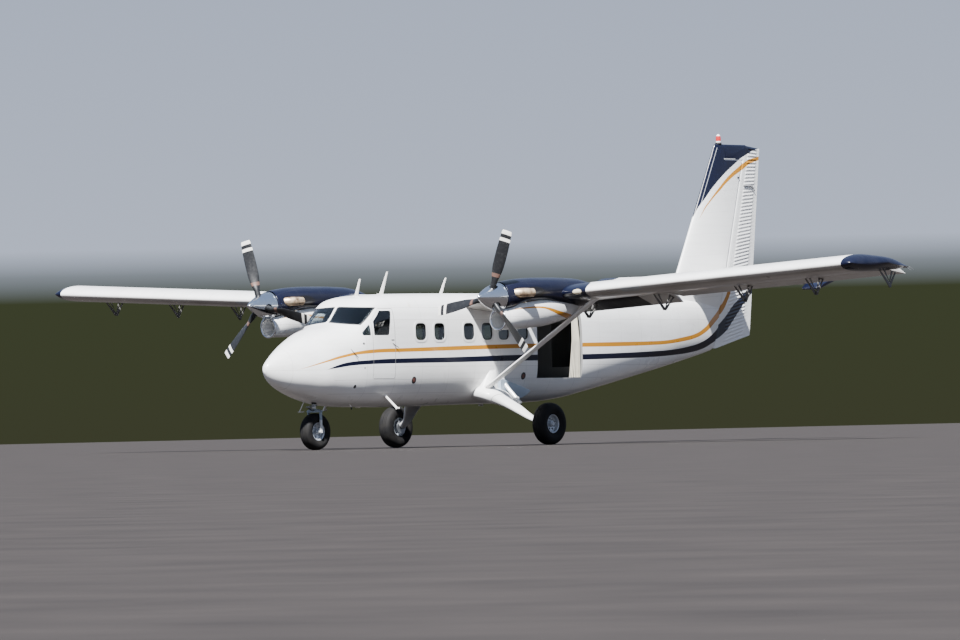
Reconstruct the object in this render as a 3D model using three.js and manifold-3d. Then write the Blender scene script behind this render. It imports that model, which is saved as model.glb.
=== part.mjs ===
// Twin-engine high-wing utility turboprop with fixed tricycle gear, as it parks.
// Millimetres. The nose points along -Y, the port wing along +X, and +Z is up. The ground is Z = 0.
// Places along the fuselage are stations: the distance aft of the nose tip.

import * as THREE from 'three';
import { mergeVertices } from 'three/addons/utils/BufferGeometryUtils.js';
import Module from 'manifold-3d';

const wasm = await Module();
wasm.setup();

// Driving dimensions
const LENGTH = 15090;
const HALF_SPAN = 9906;
const WHEELBASE = 4530;
const HALF_TRACK = 1915;
const CABIN_FLOOR_Z = 1280;
const CABIN_WALL = 55;
const TAIL_WALL = 11;
const GAP = 0.4;
const DOOR_GAP = 8;
const DOOR_WALL = 30;

const at = (station) => station - LENGTH / 2;
const radians = THREE.MathUtils.degToRad;
const mix = THREE.MathUtils.lerp;

// Fuselage sections: a superellipse above and below its widest height
const sectionColumns = ['station', 'halfWidth', 'bottom', 'top', 'widest', 'squareTop', 'squareLow'];
const fuselageTable = [
  [0, 28, 1476, 1542, 1510, 2.0, 2.0],
  [20, 62, 1418, 1594, 1506, 2.0, 2.0],
  [60, 100, 1360, 1638, 1500, 2.0, 2.0],
  [130, 148, 1292, 1690, 1490, 2.05, 2.05],
  [250, 220, 1213, 1774, 1480, 2.1, 2.1],
  [450, 333, 1125, 1892, 1475, 2.2, 2.2],
  [800, 515, 1012, 2063, 1485, 2.3, 2.3],
  [1200, 690, 914, 2210, 1530, 2.5, 2.5],
  [1780, 805, 815, 2378, 1600, 3.0, 2.8],
  [2070, 836, 800, 2672, 1680, 3.4, 3.0],
  [2310, 852, 792, 2822, 1720, 4.0, 3.0],
  [2750, 868, 785, 2882, 1740, 4.2, 3.0],
  [3300, 874, 780, 2902, 1750, 4.2, 3.0],
  [5200, 875, 800, 2914, 1750, 4.2, 3.0],
  [7400, 874, 825, 2914, 1750, 4.2, 3.0],
  [8100, 868, 880, 2908, 1770, 4.1, 3.0],
  [8750, 845, 978, 2900, 1830, 3.8, 2.9],
  [11090, 545, 1375, 2848, 2060, 3.0, 2.7],
  [12800, 262, 1690, 2800, 2220, 2.5, 2.5],
  [13620, 112, 1862, 2776, 2320, 2.3, 2.3],
];
const fuselageSections = named(sectionColumns, fuselageTable);
const RING_SIDES = 36;
const COWL_SIDES = 26;
const COCKPIT_FRONT = 1200;
const CABIN_FRONT = 3050;
const BULKHEAD = 8750;
const TAIL_END = 13620;
const ROOF_SEAM_Z = 2632;

// Glazing and doors, as outlines of station and height
const windowHeights = { low: 2010, high: 2345, width: 325, corner: 95 };
const windowStations = [3445, 3985, 4845, 5375, 5865, 6435];
const starboardExtraWindows = [7450];
const windshield = { inner: 26, outer: 735, lowInner: 2372, lowOuter: 2300, highInner: 2668, highOuter: 2640 };
const windshieldSide = [[1500, 2250], [1865, 2250], [2335, 2645], [2335, 2720], [1500, 2720]];
const SIDE_GLASS_FROM = windshield.outer + 3;
const DOOR_FROM = 560;
const crewDoorOutline = [[2112, 1300], [2710, 1300], [2710, 2615], [2345, 2615], [2112, 2380]];
const crewWindowOutline = [[2150, 2112], [2545, 2112], [2660, 2575], [2365, 2575], [2162, 2372]];
const quarterWindowOutline = [[1905, 2112], [2078, 2112], [2078, 2330], [1895, 2165]];
const doorway = { front: 6870, rear: 8245, sill: CABIN_FLOOR_Z, head: ROOF_SEAM_Z };

// Wing
const WING = {
  leadingEdge: 4810, chord: 1980, rootZ: 2672, dihedral: 3, incidence: 2,
  camber: 0.02, thickness: 0.16, root: 300, tipJoint: 9700, tipSweep: 0.15, rearFace: 0.704, hinge: 0.765,
};

// Flaps and ailerons turn about pins below and behind their noses, and stand drooped when parked
const flap = { inner: 935, outer: 4430, rest: 24 };
const aileron = { inner: 4460, outer: 9640, rest: 12 };
const DROP = { aft: 46, below: 385 };
const bracketPlaces = [1250, 2560, 4390, 6300, 7950, 9655];
const bracket = { front: 330, rear: 135, top: 40, thickness: 14, pin: 34 };

// Engines and propellers
const ENGINE = { x: 2856, z: 2764, blockRadius: 236, blockFront: 3370, blockRear: 4770, blockZ: 2796, bayRadius: 248 };
const PROP = { radius: 1295, disc: 3120, tip: 2762, base: 3318, baseRadius: 262, shank: 58, portTurn: 20, starboardTurn: -16 };
const upperCowlTable = [
  [3345, 262, 2502, 3026, 2764, 2.0, 2.0],
  [3520, 298, 2520, 3072, 2775, 2.1, 2.1],
  [3900, 325, 2650, 3112, 2800, 2.3, 2.3],
  [4300, 332, 2680, 3130, 2820, 2.5, 2.5],
  [4860, 332, 2600, 3134, 2820, 2.5, 2.5],
  [5400, 318, 2540, 3122, 2820, 2.4, 2.4],
  [5880, 262, 2640, 3056, 2850, 2.2, 2.2],
  [6160, 180, 2750, 2955, 2870, 2.0, 2.0],
];
const lowerCowlTable = [
  [3335, 206, 2168, 2580, 2350, 2.0, 2.0],
  [3400, 220, 2158, 2600, 2360, 2.1, 2.1],
  [3750, 276, 2166, 2700, 2440, 2.3, 2.3],
  [4450, 300, 2214, 2800, 2520, 2.4, 2.4],
  [5190, 262, 2350, 2850, 2600, 2.3, 2.3],
  [5600, 190, 2478, 2850, 2660, 2.1, 2.1],
  [5980, 90, 2600, 2850, 2720, 2.0, 2.0],
];
const intake = { radius: 160, z: 2342, front: 3300, depth: 540 };
const exhaust = { mouth: 3850, reach: 400, z: 2842, radius: 86, wall: 12, length: 400, splay: 38 };

// Tail
const FIN = {
  baseZ: 2650, topZ: 5920, leadAtBase: 11972, leadPerZ: 0.504, hingeAtBase: 13648, hingePerZ: 0.291,
  trailAtBase: 14706, trailPerZ: 0.12, hornZ: 5615, hornStation: 13880, thickness: 0.1,
};
const RUDDER = { lowZ: 1835, lowTrailZ: 2095, radiusLow: 92, radiusHigh: 50, clearance: 16 };
const TAILPLANE = {
  z: 3120, lead: 12505, hinge: 13300, trail: 13925, tip: 3150, root: 60,
  horn: 2745, hornLead: 12770, thickness: 0.12, radius: 62, restAngle: 19.5,
};
const TORQUE_TUBE = { radius: 24, reach: 190, clearance: 8 };
const BEACON = { station: 13760, radius: 52, height: 6125 };

// Roof antennas: front and rear of the foot, station and height of the tip
const antennaColumns = ['front', 'rear', 'tip', 'top'];
const antennaTable = [
  [2560, 2665, 2760, 3190],
  [3250, 3370, 3550, 3330],
  [4990, 5090, 5250, 3220],
];
const jackPads = {
  face: 770, radius: 45,
  front: { x: 0, station: 2600, root: 830 },
  rear: { x: 430, station: 6700, root: 900 },
};
const crewStep = { root: [660, 2573, 1027], foot: [905, 2673, 747], rod: 23, toe: { reach: 60, rod: 18 } };

// Landing gear
const NOSE_WHEEL = { station: 1380, radius: 344, width: 250, rim: 172 };
const MAIN_WHEEL = { station: NOSE_WHEEL.station + WHEELBASE, radius: 400, width: 288, rim: 178 };
const WHEEL_SEGMENTS = 28;
const legColumns = ['x', 'station', 'z', 'chord', 'depth'];
const legTable = [
  [560, 5440, 1060, 620, 380],
  [860, 5425, 985, 620, 270],
  [1010, 5455, 935, 610, 250],
  [1260, 5620, 755, 410, 130],
  [1560, 5822, 512, 232, 80],
  [1735, 5900, 422, 168, 110],
];

// The hip fairing above the leg's root: height, centre, and half widths across and along
const hipColumns = ['z', 'x', 'station', 'halfAcross', 'halfAlong'];
const hipTable = [
  [980, 820, 5420, 160, 310],
  [1200, 820, 5480, 122, 220],
  [1340, 830, 5520, 88, 160],
  [1430, 840, 5540, 48, 115],
];
const oleo = { aft: -20, low: 772, high: 1000, radius: 42 };
const fork = { low: 700, high: 760, ahead: 50, behind: 42, inner: 12, wall: 22, armHalf: 26 };
const wingStrut = { low: [930, 5340, 1130], high: [3650, 5370, 2780], chord: 180, thickness: 62 };
const legBrace = { low: [1300, 5810, 800], high: [830, 5770, 1290], radius: 38 };

// Colours
const paint = {
  white: { color: 0xf2f0ec, roughness: 0.35, metalness: 0.05 },
  navy: { color: 0x141c46, roughness: 0.3, metalness: 0.05 },
  polished: { color: 0xc9d0d8, roughness: 0.12, metalness: 1 },
  blade: { color: 0x2b2b2f, roughness: 0.5, metalness: 0.2 },
  glass: { color: 0x1c262e, roughness: 0.08, metalness: 0 },
  rubber: { color: 0x15151a, roughness: 0.85, metalness: 0 },
  rim: { color: 0xaab2ba, roughness: 0.4, metalness: 0.8 },
  steel: { color: 0x8a9097, roughness: 0.4, metalness: 0.8 },
  exhaust: { color: 0xb59a78, roughness: 0.6, metalness: 0.5 },
  lining: { color: 0x8f9296, roughness: 0.8, metalness: 0 },
  fabric: { color: 0xcfc8b6, roughness: 0.95, metalness: 0 },
  dark: { color: 0x2a2c30, roughness: 0.7, metalness: 0 },
  red: { color: 0xa01c22, roughness: 0.2, metalness: 0 },
};

function named(columns, table) {
  return table.map((row) => Object.fromEntries(columns.map((column, i) => [column, row[i]])));
}

// Solids

function solid(geometry) {
  const bare = geometry.clone();
  bare.deleteAttribute('normal');
  bare.deleteAttribute('uv');
  const whole = facingOut(mergeVertices(bare, 1e-3));
  return new wasm.Manifold(new wasm.Mesh({
    numProp: 3,
    vertProperties: Float32Array.from(whole.attributes.position.array),
    triVerts: Uint32Array.from(whole.index.array),
  }));
}

function geometryOf(manifold) {
  const mesh = manifold.getMesh();
  const geometry = new THREE.BufferGeometry();
  geometry.setAttribute('position', new THREE.BufferAttribute(Float32Array.from(mesh.vertProperties), 3));
  geometry.setIndex(Array.from(mesh.triVerts));
  geometry.computeVertexNormals();
  return geometry;
}

// A closed skin through rings of equal length, with a flat cap on each end ring
function loft(rings) {
  const sides = rings[0].length;
  const positions = rings.flat().flatMap((p) => [p.x, p.y, p.z]);
  const faces = [];
  for (let r = 0; r + 1 < rings.length; r += 1) {
    for (let k = 0; k < sides; k += 1) {
      const a = r * sides + k;
      const b = r * sides + ((k + 1) % sides);
      faces.push(a, b, b + sides, a, b + sides, a + sides);
    }
  }
  const cap = (ring, base, flipped) => {
    const normal = new THREE.Vector3();
    ring.forEach((p, k) => {
      const q = ring[(k + 1) % sides];
      normal.x += (p.y - q.y) * (p.z + q.z);
      normal.y += (p.z - q.z) * (p.x + q.x);
      normal.z += (p.x - q.x) * (p.y + q.y);
    });
    normal.normalize();
    const across = new THREE.Vector3(normal.z, normal.x, normal.y).cross(normal).normalize();
    const along = normal.clone().cross(across);
    const flat = ring.map((p) => new THREE.Vector2(p.dot(across), p.dot(along)));
    THREE.ShapeUtils.triangulateShape(flat, []).forEach(([i, j, k]) => {
      faces.push(...(flipped ? [base + i, base + k, base + j] : [base + i, base + j, base + k]));
    });
  };
  cap(rings[0], 0, true);
  cap(rings[rings.length - 1], (rings.length - 1) * sides, false);
  const geometry = new THREE.BufferGeometry();
  geometry.setAttribute('position', new THREE.BufferAttribute(new Float32Array(positions), 3));
  geometry.setIndex(faces);
  return facingOut(geometry);
}

function facingOut(geometry) {
  if (signedVolume(geometry) < 0) {
    geometry.setIndex(Array.from(geometry.index.array).reverse());
  }
  return geometry;
}

function signedVolume(geometry) {
  const p = geometry.attributes.position;
  const index = geometry.index.array;
  const corner = [new THREE.Vector3(), new THREE.Vector3(), new THREE.Vector3()];
  let total = 0;
  for (let i = 0; i < index.length; i += 3) {
    corner.forEach((v, k) => v.fromBufferAttribute(p, index[i + k]));
    total += corner[0].dot(corner[1].clone().cross(corner[2])) / 6;
  }
  return total;
}

function box(x0, x1, station0, station1, z0, z1) {
  const geometry = new THREE.BoxGeometry(x1 - x0, station1 - station0, z1 - z0);
  geometry.translate((x0 + x1) / 2, at((station0 + station1) / 2), (z0 + z1) / 2);
  return solid(geometry);
}

// A prism along X from an outline of [station, z]
function sidePrism(outline, x0, x1) {
  const ring = (x) => outline.map(([station, z]) => new THREE.Vector3(x, at(station), z));
  return solid(loft([ring(x0), ring(x1)]));
}

// A prism along Y from an outline of [x, z]
function frontPrism(outline, station0, station1) {
  const ring = (station) => outline.map(([x, z]) => new THREE.Vector3(x, at(station), z));
  return solid(loft([ring(station0), ring(station1)]));
}

function roundedRectangle(centre, low, high, width, corner) {
  const stepsPerCorner = 3;
  const corners = [
    [centre + width / 2 - corner, high - corner, 0],
    [centre - width / 2 + corner, high - corner, 90],
    [centre - width / 2 + corner, low + corner, 180],
    [centre + width / 2 - corner, low + corner, 270],
  ];
  return corners.flatMap(([u, v, start]) => Array.from({ length: stepsPerCorner + 1 }, (_, k) => {
    const angle = radians(start + (90 * k) / stepsPerCorner);
    return [u + corner * Math.cos(angle), v + corner * Math.sin(angle)];
  }));
}

// An outline drawn counterclockwise, shrunk by the same distance on every side
function inset(outline, distance) {
  const sides = outline.map(([u, v], k) => {
    const [nextU, nextV] = outline[(k + 1) % outline.length];
    const length = Math.hypot(nextU - u, nextV - v);
    const [alongU, alongV] = [(nextU - u) / length, (nextV - v) / length];
    return { u: u - alongV * distance, v: v + alongU * distance, alongU, alongV };
  });
  return sides.map((side, k) => {
    const before = sides[(k + sides.length - 1) % sides.length];
    const turn = before.alongU * side.alongV - before.alongV * side.alongU;
    const reach = ((side.u - before.u) * side.alongV - (side.v - before.v) * side.alongU) / turn;
    return [before.u + before.alongU * reach, before.v + before.alongV * reach];
  });
}

// A ring across the fuselage or a cowl, grown or shrunk by an offset
function superellipse(section, offset, centreX, sides) {
  return Array.from({ length: sides }, (_, k) => {
    const angle = (2 * Math.PI * (k + 0.5)) / sides;
    const c = Math.cos(angle);
    const s = Math.sin(angle);
    const rise = s > 0 ? section.top - section.widest : section.widest - section.bottom;
    const power = 2 / (s > 0 ? section.squareTop : section.squareLow);
    return new THREE.Vector3(
      centreX + (section.halfWidth + offset) * Math.sign(c) * Math.abs(c) ** power,
      at(section.station),
      section.widest + (rise + offset) * Math.sign(s) * Math.abs(s) ** power,
    );
  });
}

function sectionAt(sections, station) {
  const next = sections.findIndex((section) => section.station >= station);
  const [a, b] = [sections[Math.max(next - 1, 0)], sections[next]];
  const t = a === b ? 0 : (station - a.station) / (b.station - a.station);
  return Object.fromEntries(sectionColumns.map((key) => [key, mix(a[key], b[key], t)]));
}

function bodyLoft(sections, offset, centreX, from = -Infinity, to = Infinity, sides = RING_SIDES) {
  const first = Math.max(from, sections[0].station);
  const last = Math.min(to, sections[sections.length - 1].station);
  const between = sections.filter(({ station }) => station > first && station < last);
  const run = [sectionAt(sections, first), ...between, sectionAt(sections, last)];
  return solid(loft(run.map((section) => superellipse(section, offset, centreX, sides))));
}

// Tube or rod between two points given as [x, station, z]
function rod(from, to, radius, sides = 14) {
  const a = new THREE.Vector3(from[0], at(from[1]), from[2]);
  const b = new THREE.Vector3(to[0], at(to[1]), to[2]);
  const geometry = new THREE.CylinderGeometry(radius, radius, a.distanceTo(b), sides);
  geometry.applyQuaternion(new THREE.Quaternion().setFromUnitVectors(
    new THREE.Vector3(0, 1, 0), b.clone().sub(a).normalize()));
  geometry.translate(...a.clone().add(b).multiplyScalar(0.5).toArray());
  return solid(geometry);
}

// A turned piece about an axis along X: the profile is [radius, x] pairs
function turnedAboutX(profile, x, station, z, segments) {
  const geometry = new THREE.LatheGeometry(profile.map(([radius, along]) => new THREE.Vector2(radius, along)), segments);
  geometry.rotateZ(-Math.PI / 2);
  geometry.translate(x, at(station), z);
  return solid(geometry);
}

// A turned piece about an axis along Y: the profile is [radius, station] pairs
function turnedAboutY(profile, x, z, segments) {
  const points = profile.map(([radius, station]) => new THREE.Vector2(radius, at(station)));
  const geometry = new THREE.LatheGeometry(points, segments);
  geometry.translate(x, 0, z);
  return solid(geometry);
}

function cylinderAboutY(radius, from, to, x, z, segments) {
  return turnedAboutY([[0, from], [radius, from], [radius, to], [0, to]], x, z, segments);
}

const mirrored = (manifold) => manifold.mirror([1, 0, 0]);

// Aerofoils

function aerofoilHeight(fraction, camber, thickness, side) {
  const x = fraction;
  const half = 5 * thickness * (0.2969 * Math.sqrt(x) - 0.126 * x - 0.3516 * x ** 2 + 0.2843 * x ** 3 - 0.1036 * x ** 4);
  const peak = 0.4;
  const mean = x < peak
    ? (camber / peak ** 2) * (2 * peak * x - x ** 2)
    : (camber / (1 - peak) ** 2) * (1 - 2 * peak + 2 * peak * x - x ** 2);
  return mean + side * half;
}

// Points round an aerofoil that is cut off square at a fraction of its chord
function aerofoilOutline(camber, thickness, cut, steps = 10) {
  const spread = Array.from({ length: steps + 1 }, (_, k) => cut * (1 - Math.cos((Math.PI / 2) * (k / steps))));
  const upper = spread.map((x) => [x, aerofoilHeight(x, camber, thickness, 1)]);
  const lower = spread.slice(1).map((x) => [x, aerofoilHeight(x, camber, thickness, -1)]);
  return [...upper.reverse(), ...lower];
}

function wingPoint(x, u, v, scale = 1) {
  const tilt = radians(WING.incidence);
  const chord = WING.chord * scale;
  const lead = WING.leadingEdge + WING.chord * (1 - scale) * WING.tipSweep;
  return new THREE.Vector3(
    x,
    at(lead + chord * (u * Math.cos(tilt) + v * Math.sin(tilt))),
    WING.rootZ + Math.tan(radians(WING.dihedral)) * x + chord * (v * Math.cos(tilt) - u * Math.sin(tilt)),
  );
}

function wingLoft(from, to, cut, grown = 0) {
  const thickness = WING.thickness + (2 * grown) / WING.chord;
  const outline = aerofoilOutline(WING.camber, thickness, cut);
  const ring = (x) => outline.map(([u, v]) => wingPoint(x, u - grown / WING.chord, v));
  return solid(loft([ring(from), ring(to)]));
}

// A round-nosed, straight-sided section behind a hinge
function teardrop(radius, length, trailing = 5, steps = 6) {
  const nose = Array.from({ length: steps + 1 }, (_, k) => {
    const angle = Math.PI / 2 + (Math.PI * k) / steps;
    return [radius * Math.cos(angle), radius * Math.sin(angle)];
  });
  return [...nose, [length, -trailing / 2], [length, trailing / 2]];
}

function wingHinge(x) {
  const mean = aerofoilHeight(WING.hinge, WING.camber, 0, 0);
  return wingPoint(x, WING.hinge, mean);
}

function trailingSurface(from, to) {
  const radius = WING.chord * aerofoilHeight(WING.hinge, 0, WING.thickness, 1);
  const ring = (x) => {
    const hinge = wingHinge(x);
    const trail = wingPoint(x, 1, 0);
    const length = Math.hypot(trail.y - hinge.y, trail.z - hinge.z);
    const slope = Math.atan2(trail.z - hinge.z, trail.y - hinge.y);
    return teardrop(radius, length).map(([u, v]) => new THREE.Vector3(
      x,
      hinge.y + u * Math.cos(slope) - v * Math.sin(slope),
      hinge.z + u * Math.sin(slope) + v * Math.cos(slope),
    ));
  };
  return solid(loft([ring(from), ring(to)]));
}

// A flap or an aileron, turned down about its pins to where it is parked
function droopedSurface({ inner, outer, rest }) {
  const lean = radians(WING.dihedral);
  const axis = new THREE.Vector3(-Math.cos(lean), 0, -Math.sin(lean));
  const pin = dropPin((inner + outer) / 2);
  const placing = new THREE.Matrix4().makeTranslation(...pin.toArray())
    .multiply(new THREE.Matrix4().makeRotationAxis(axis, radians(rest)))
    .multiply(new THREE.Matrix4().makeTranslation(...pin.clone().negate().toArray()));
  return trailingSurface(inner, outer).transform(placing.elements);
}

// Pieces

const model = new THREE.Group();

function add(name, shape, look) {
  const material = new THREE.MeshStandardMaterial(paint[look]);
  const mesh = new THREE.Mesh(geometryOf(shape), material);
  mesh.name = name;
  model.add(mesh);
}

function addPair(name, portShape, look) {
  add(`${name}_left`, portShape, look);
  add(`${name}_right`, mirrored(portShape), look);
}

const FAR = 12000;
const below = (z) => box(-FAR, FAR, -1000, LENGTH + 1000, -1000, z);
const above = (z) => box(-FAR, FAR, -1000, LENGTH + 1000, z, 8000);
const slice = (from, to) => box(-FAR, FAR, from, to, -1000, 8000);
const portSide = box(0, FAR, -1000, LENGTH + 1000, -1000, 8000);
const starboardSide = box(-FAR, 0, -1000, LENGTH + 1000, -1000, 8000);

const hull = bodyLoft(fuselageSections, 0, 0);
const hullGrown = bodyLoft(fuselageSections, GAP, 0);
const room = bodyLoft(fuselageSections, -CABIN_WALL, 0, COCKPIT_FRONT - 5, BULKHEAD + 5);
const shell = hull.subtract(room).intersect(above(CABIN_FLOOR_Z));

const windowOutline = (station) => roundedRectangle(
  station, windowHeights.low, windowHeights.high, windowHeights.width, windowHeights.corner);

function windshieldPane(side, shrink) {
  const outline = [
    [windshield.inner + shrink, windshield.lowInner + shrink],
    [windshield.outer - shrink, windshield.lowOuter + shrink],
    [windshield.outer - shrink * 3, windshield.highOuter - shrink],
    [windshield.inner + shrink, windshield.highInner - shrink],
  ].map(([x, z]) => [x * side, z]);
  return frontPrism(outline, 1500, 2400)
    .intersect(sidePrism(windshieldSide.map(([station, z]) => [station - shrink, z]), -FAR, FAR));
}

function antennaSolid({ front, rear, tip, top }) {
  return sidePrism([[front, 2850], [rear, 2850], [tip, top], [tip - 45, top]], -7, 7);
}

// A flat round pad under the belly, where a jack or a stand fits
function jackPad({ x, station, root }) {
  return rod([x, station, root], [x, station, jackPads.face], jackPads.radius, 24);
}

// A tube down and outward from the belly, with a short foot rest that points aft
function crewStepSolid(side) {
  const { root, foot, rod: radius, toe } = crewStep;
  const place = ([x, station, z], aft) => [side * x, station + aft, z];
  const leg = rod(place(root, 0), place(foot, 0), radius, 10);
  return leg.add(rod(place(foot, -radius), place(foot, toe.reach), toe.rod, 10));
}

function nose() {
  add('nose_cone', hull.intersect(slice(-10, COCKPIT_FRONT - GAP)), 'white');
}

function cockpit() {
  const belly = hull.intersect(slice(COCKPIT_FRONT, CABIN_FRONT - GAP)).intersect(below(CABIN_FLOOR_Z - GAP));
  const steps = crewStepSolid(1).add(crewStepSolid(-1));
  add('cockpit_belly', belly.add(steps).add(jackPad(jackPads.front)), 'white');
  const [cockpitAntenna] = named(antennaColumns, antennaTable);
  let upper = shell.intersect(slice(COCKPIT_FRONT, CABIN_FRONT - GAP));
  for (const side of [1, -1]) {
    upper = upper.subtract(windshieldPane(side, 0));
  }
  for (const side of [1, -1]) {
    upper = upper.subtract(sidePrism(crewDoorOutline, side * DOOR_FROM, side * FAR));
    upper = upper.subtract(sidePrism(quarterWindowOutline, side * SIDE_GLASS_FROM, side * FAR));
  }
  add('cockpit_upper', upper.add(antennaSolid(cockpitAntenna)), 'white');
  const pane = hull.subtract(bodyLoft(fuselageSections, -14, 0, COCKPIT_FRONT, CABIN_FRONT));
  addPair('windshield', pane.intersect(windshieldPane(1, 2)), 'glass');
  addPair('quarter_window', pane.intersect(sidePrism(inset(quarterWindowOutline, 2), SIDE_GLASS_FROM + 2, FAR)), 'glass');
  const door = hull.subtract(bodyLoft(fuselageSections, -DOOR_WALL, 0, COCKPIT_FRONT, CABIN_FRONT))
    .intersect(sidePrism(inset(crewDoorOutline, DOOR_GAP), DOOR_FROM, FAR));
  addPair('crew_door', door.subtract(sidePrism(crewWindowOutline, 0, FAR)).subtract(windshieldPane(1, -4)), 'white');
  addPair('crew_door_window', pane.intersect(sidePrism(inset(crewWindowOutline, 2), 0, FAR)), 'glass');
}

function cabin() {
  const length = slice(CABIN_FRONT, BULKHEAD - GAP);
  const belly = hull.intersect(length).intersect(below(CABIN_FLOOR_Z - GAP));
  const pad = jackPad(jackPads.rear);
  add('cabin_belly', belly.add(pad).add(mirrored(pad)), 'white');
  const walls = shell.intersect(length).intersect(below(ROOF_SEAM_Z - GAP));
  const cutWindows = (wall, stations, side) => stations.reduce(
    (left, station) => left.subtract(sidePrism(windowOutline(station), side * 100, side * FAR)), wall);
  const starboard = walls.intersect(starboardSide);
  add('cabin_side_right', cutWindows(starboard, [...windowStations, ...starboardExtraWindows], -1), 'white');
  const port = walls.intersect(portSide);
  add('cabin_side_left_front', cutWindows(port.intersect(slice(CABIN_FRONT, doorway.front)), windowStations, 1), 'white');
  add('cabin_side_left_rear', port.intersect(slice(doorway.rear, BULKHEAD - GAP)), 'white');
  const roof = shell.intersect(length).intersect(above(ROOF_SEAM_Z));
  const cabinAntennas = named(antennaColumns, antennaTable).slice(1);
  add('cabin_roof', cabinAntennas.reduce((sum, antenna) => sum.add(antennaSolid(antenna)), roof), 'white');
  const bulkheadPlate = bodyLoft(fuselageSections, -CABIN_WALL - GAP, 0, BULKHEAD - 40, BULKHEAD - 10);
  const hatch = box(-300, 300, BULKHEAD - 100, BULKHEAD + 100, 1500, 2350);
  add('rear_bulkhead', bulkheadPlate.intersect(above(CABIN_FLOOR_Z + GAP)).subtract(hatch), 'lining');
}

function crewSeat() {
  const base = box(290, 610, 2500, 2860, CABIN_FLOOR_Z + GAP, 1560);
  const pan = box(235, 665, 2440, 2900, 1559, 1680);
  const backRing = (z, station) => [[250, station - 60], [650, station - 60], [650, station + 60], [250, station + 60]]
    .map(([x, s]) => new THREE.Vector3(x, at(s), z));
  const back = solid(loft([backRing(1640, 2850), backRing(2300, 2965)]));
  return base.add(pan).add(back);
}

function cockpitFittings() {
  addPair('crew_seat', crewSeat(), 'dark');
  const panel = bodyLoft(fuselageSections, -CABIN_WALL - 12, 0, 1720, 1860)
    .intersect(above(1720)).intersect(below(2290));
  add('instrument_panel', panel, 'dark');
}

function doorwayCurtain() {
  const top = doorway.head - 22;
  const low = doorway.sill + 8;
  const ring = (z, front) => [[front, 772], [doorway.rear - 8, 772], [doorway.rear - 8, 828], [front, 828]]
    .map(([station, x]) => new THREE.Vector3(x - (z > 2000 ? (z - 2000) * 0.12 : 0), at(station), z));
  add('doorway_curtain', solid(loft([ring(low, 7905), ring(2000, 8010), ring(top, 8105)])), 'fabric');
}

function tailCone() {
  const outside = hull.intersect(slice(BULKHEAD, TAIL_END + 10));
  const hollow = bodyLoft(fuselageSections, -TAIL_WALL, 0, BULKHEAD - 20, TAIL_END - 520);
  const post = [RUDDER.lowZ - 200, FIN.baseZ + 300].map((z) => [rudderFront(z), z]);
  const behind = sidePrism([post[0], [LENGTH, post[0][1]], [LENGTH, post[1][1]], post[1]], -FAR, FAR);
  add('tail_cone', outside.subtract(hollow).subtract(behind), 'white');
}

// Wing pieces are made for the port side and mirrored

const wingWhole = wingLoft(WING.root, WING.tipJoint - GAP, WING.rearFace);
const wingWholeGrown = wingLoft(WING.root, WING.tipJoint, WING.rearFace + 0.001, GAP);

function strutSolid() {
  const low = new THREE.Vector3(wingStrut.low[0], at(wingStrut.low[1]), wingStrut.low[2]);
  const high = new THREE.Vector3(wingStrut.high[0], at(wingStrut.high[1]), wingStrut.high[2]);
  const along = high.clone().sub(low).normalize();
  const aft = new THREE.Vector3(0, 1, 0);
  const across = along.clone().cross(aft).normalize();
  const outline = Array.from({ length: 14 }, (_, k) => {
    const angle = (2 * Math.PI * k) / 14;
    return [0.5 * wingStrut.chord * Math.cos(angle), 0.5 * wingStrut.thickness * Math.sin(angle)];
  });
  const ring = (centre) => outline.map(([u, v]) => centre.clone().addScaledVector(aft, u).addScaledVector(across, v));
  return solid(loft([ring(low), ring(high)]));
}

// The pin that a flap or aileron turns about, at a place along the wing
function dropPin(x) {
  return wingHinge(x).add(new THREE.Vector3(0, DROP.aft, -DROP.below));
}

// An open frame below the wing that carries a pin
function hingeBracket(x) {
  const pin = dropPin(x);
  const station = pin.y + LENGTH / 2;
  const hinge = station - DROP.aft;
  const top = pin.z + DROP.below - bracket.top;
  const { pin: half, front, rear, thickness } = bracket;
  const frame = (shrink) => sidePrism([
    [hinge - front + shrink * 1.6, top + shrink], [station - half + shrink * 0.4, pin.z - 12 + shrink * 2],
    [station + half - shrink, pin.z - 12 + shrink * 2], [hinge - rear - shrink * 1.2, top + shrink],
  ], x - thickness / 2 - shrink, x + thickness / 2 + shrink);
  return frame(0).subtract(frame(26));
}

function wings() {
  let wing = wingWhole.subtract(hullGrown);
  for (const x of bracketPlaces) {
    wing = wing.add(hingeBracket(x));
  }
  addPair('wing', wing, 'white');
  const tipSteps = [
    // x, scale of the chord, scale of the thickness, rise of the cap's rear
    [WING.tipJoint, 1, 1, 0], [9780, 0.985, 0.95, 0.02], [9860, 0.92, 0.68, 0.028], [HALF_SPAN, 0.76, 0.2, 0.03],
  ];
  const outline = aerofoilOutline(WING.camber, WING.thickness, 1, 12).slice(0, -1);
  const rings = tipSteps.map(([x, scale, flat, rise]) => outline.map(([u, v]) => (
    wingPoint(x, u, v * flat + rise * Math.exp(-(((u - 0.72) / 0.2) ** 2)), scale))));
  addPair('wing_tip', solid(loft(rings)), 'navy');
  addPair('flap', droopedSurface(flap), 'white');
  addPair('aileron', droopedSurface(aileron), 'white');
  const leg = gearLegSolid();
  addPair('wing_strut', strutSolid().subtract(wingWholeGrown).subtract(hullGrown).subtract(leg.grown), 'white');
}

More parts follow.
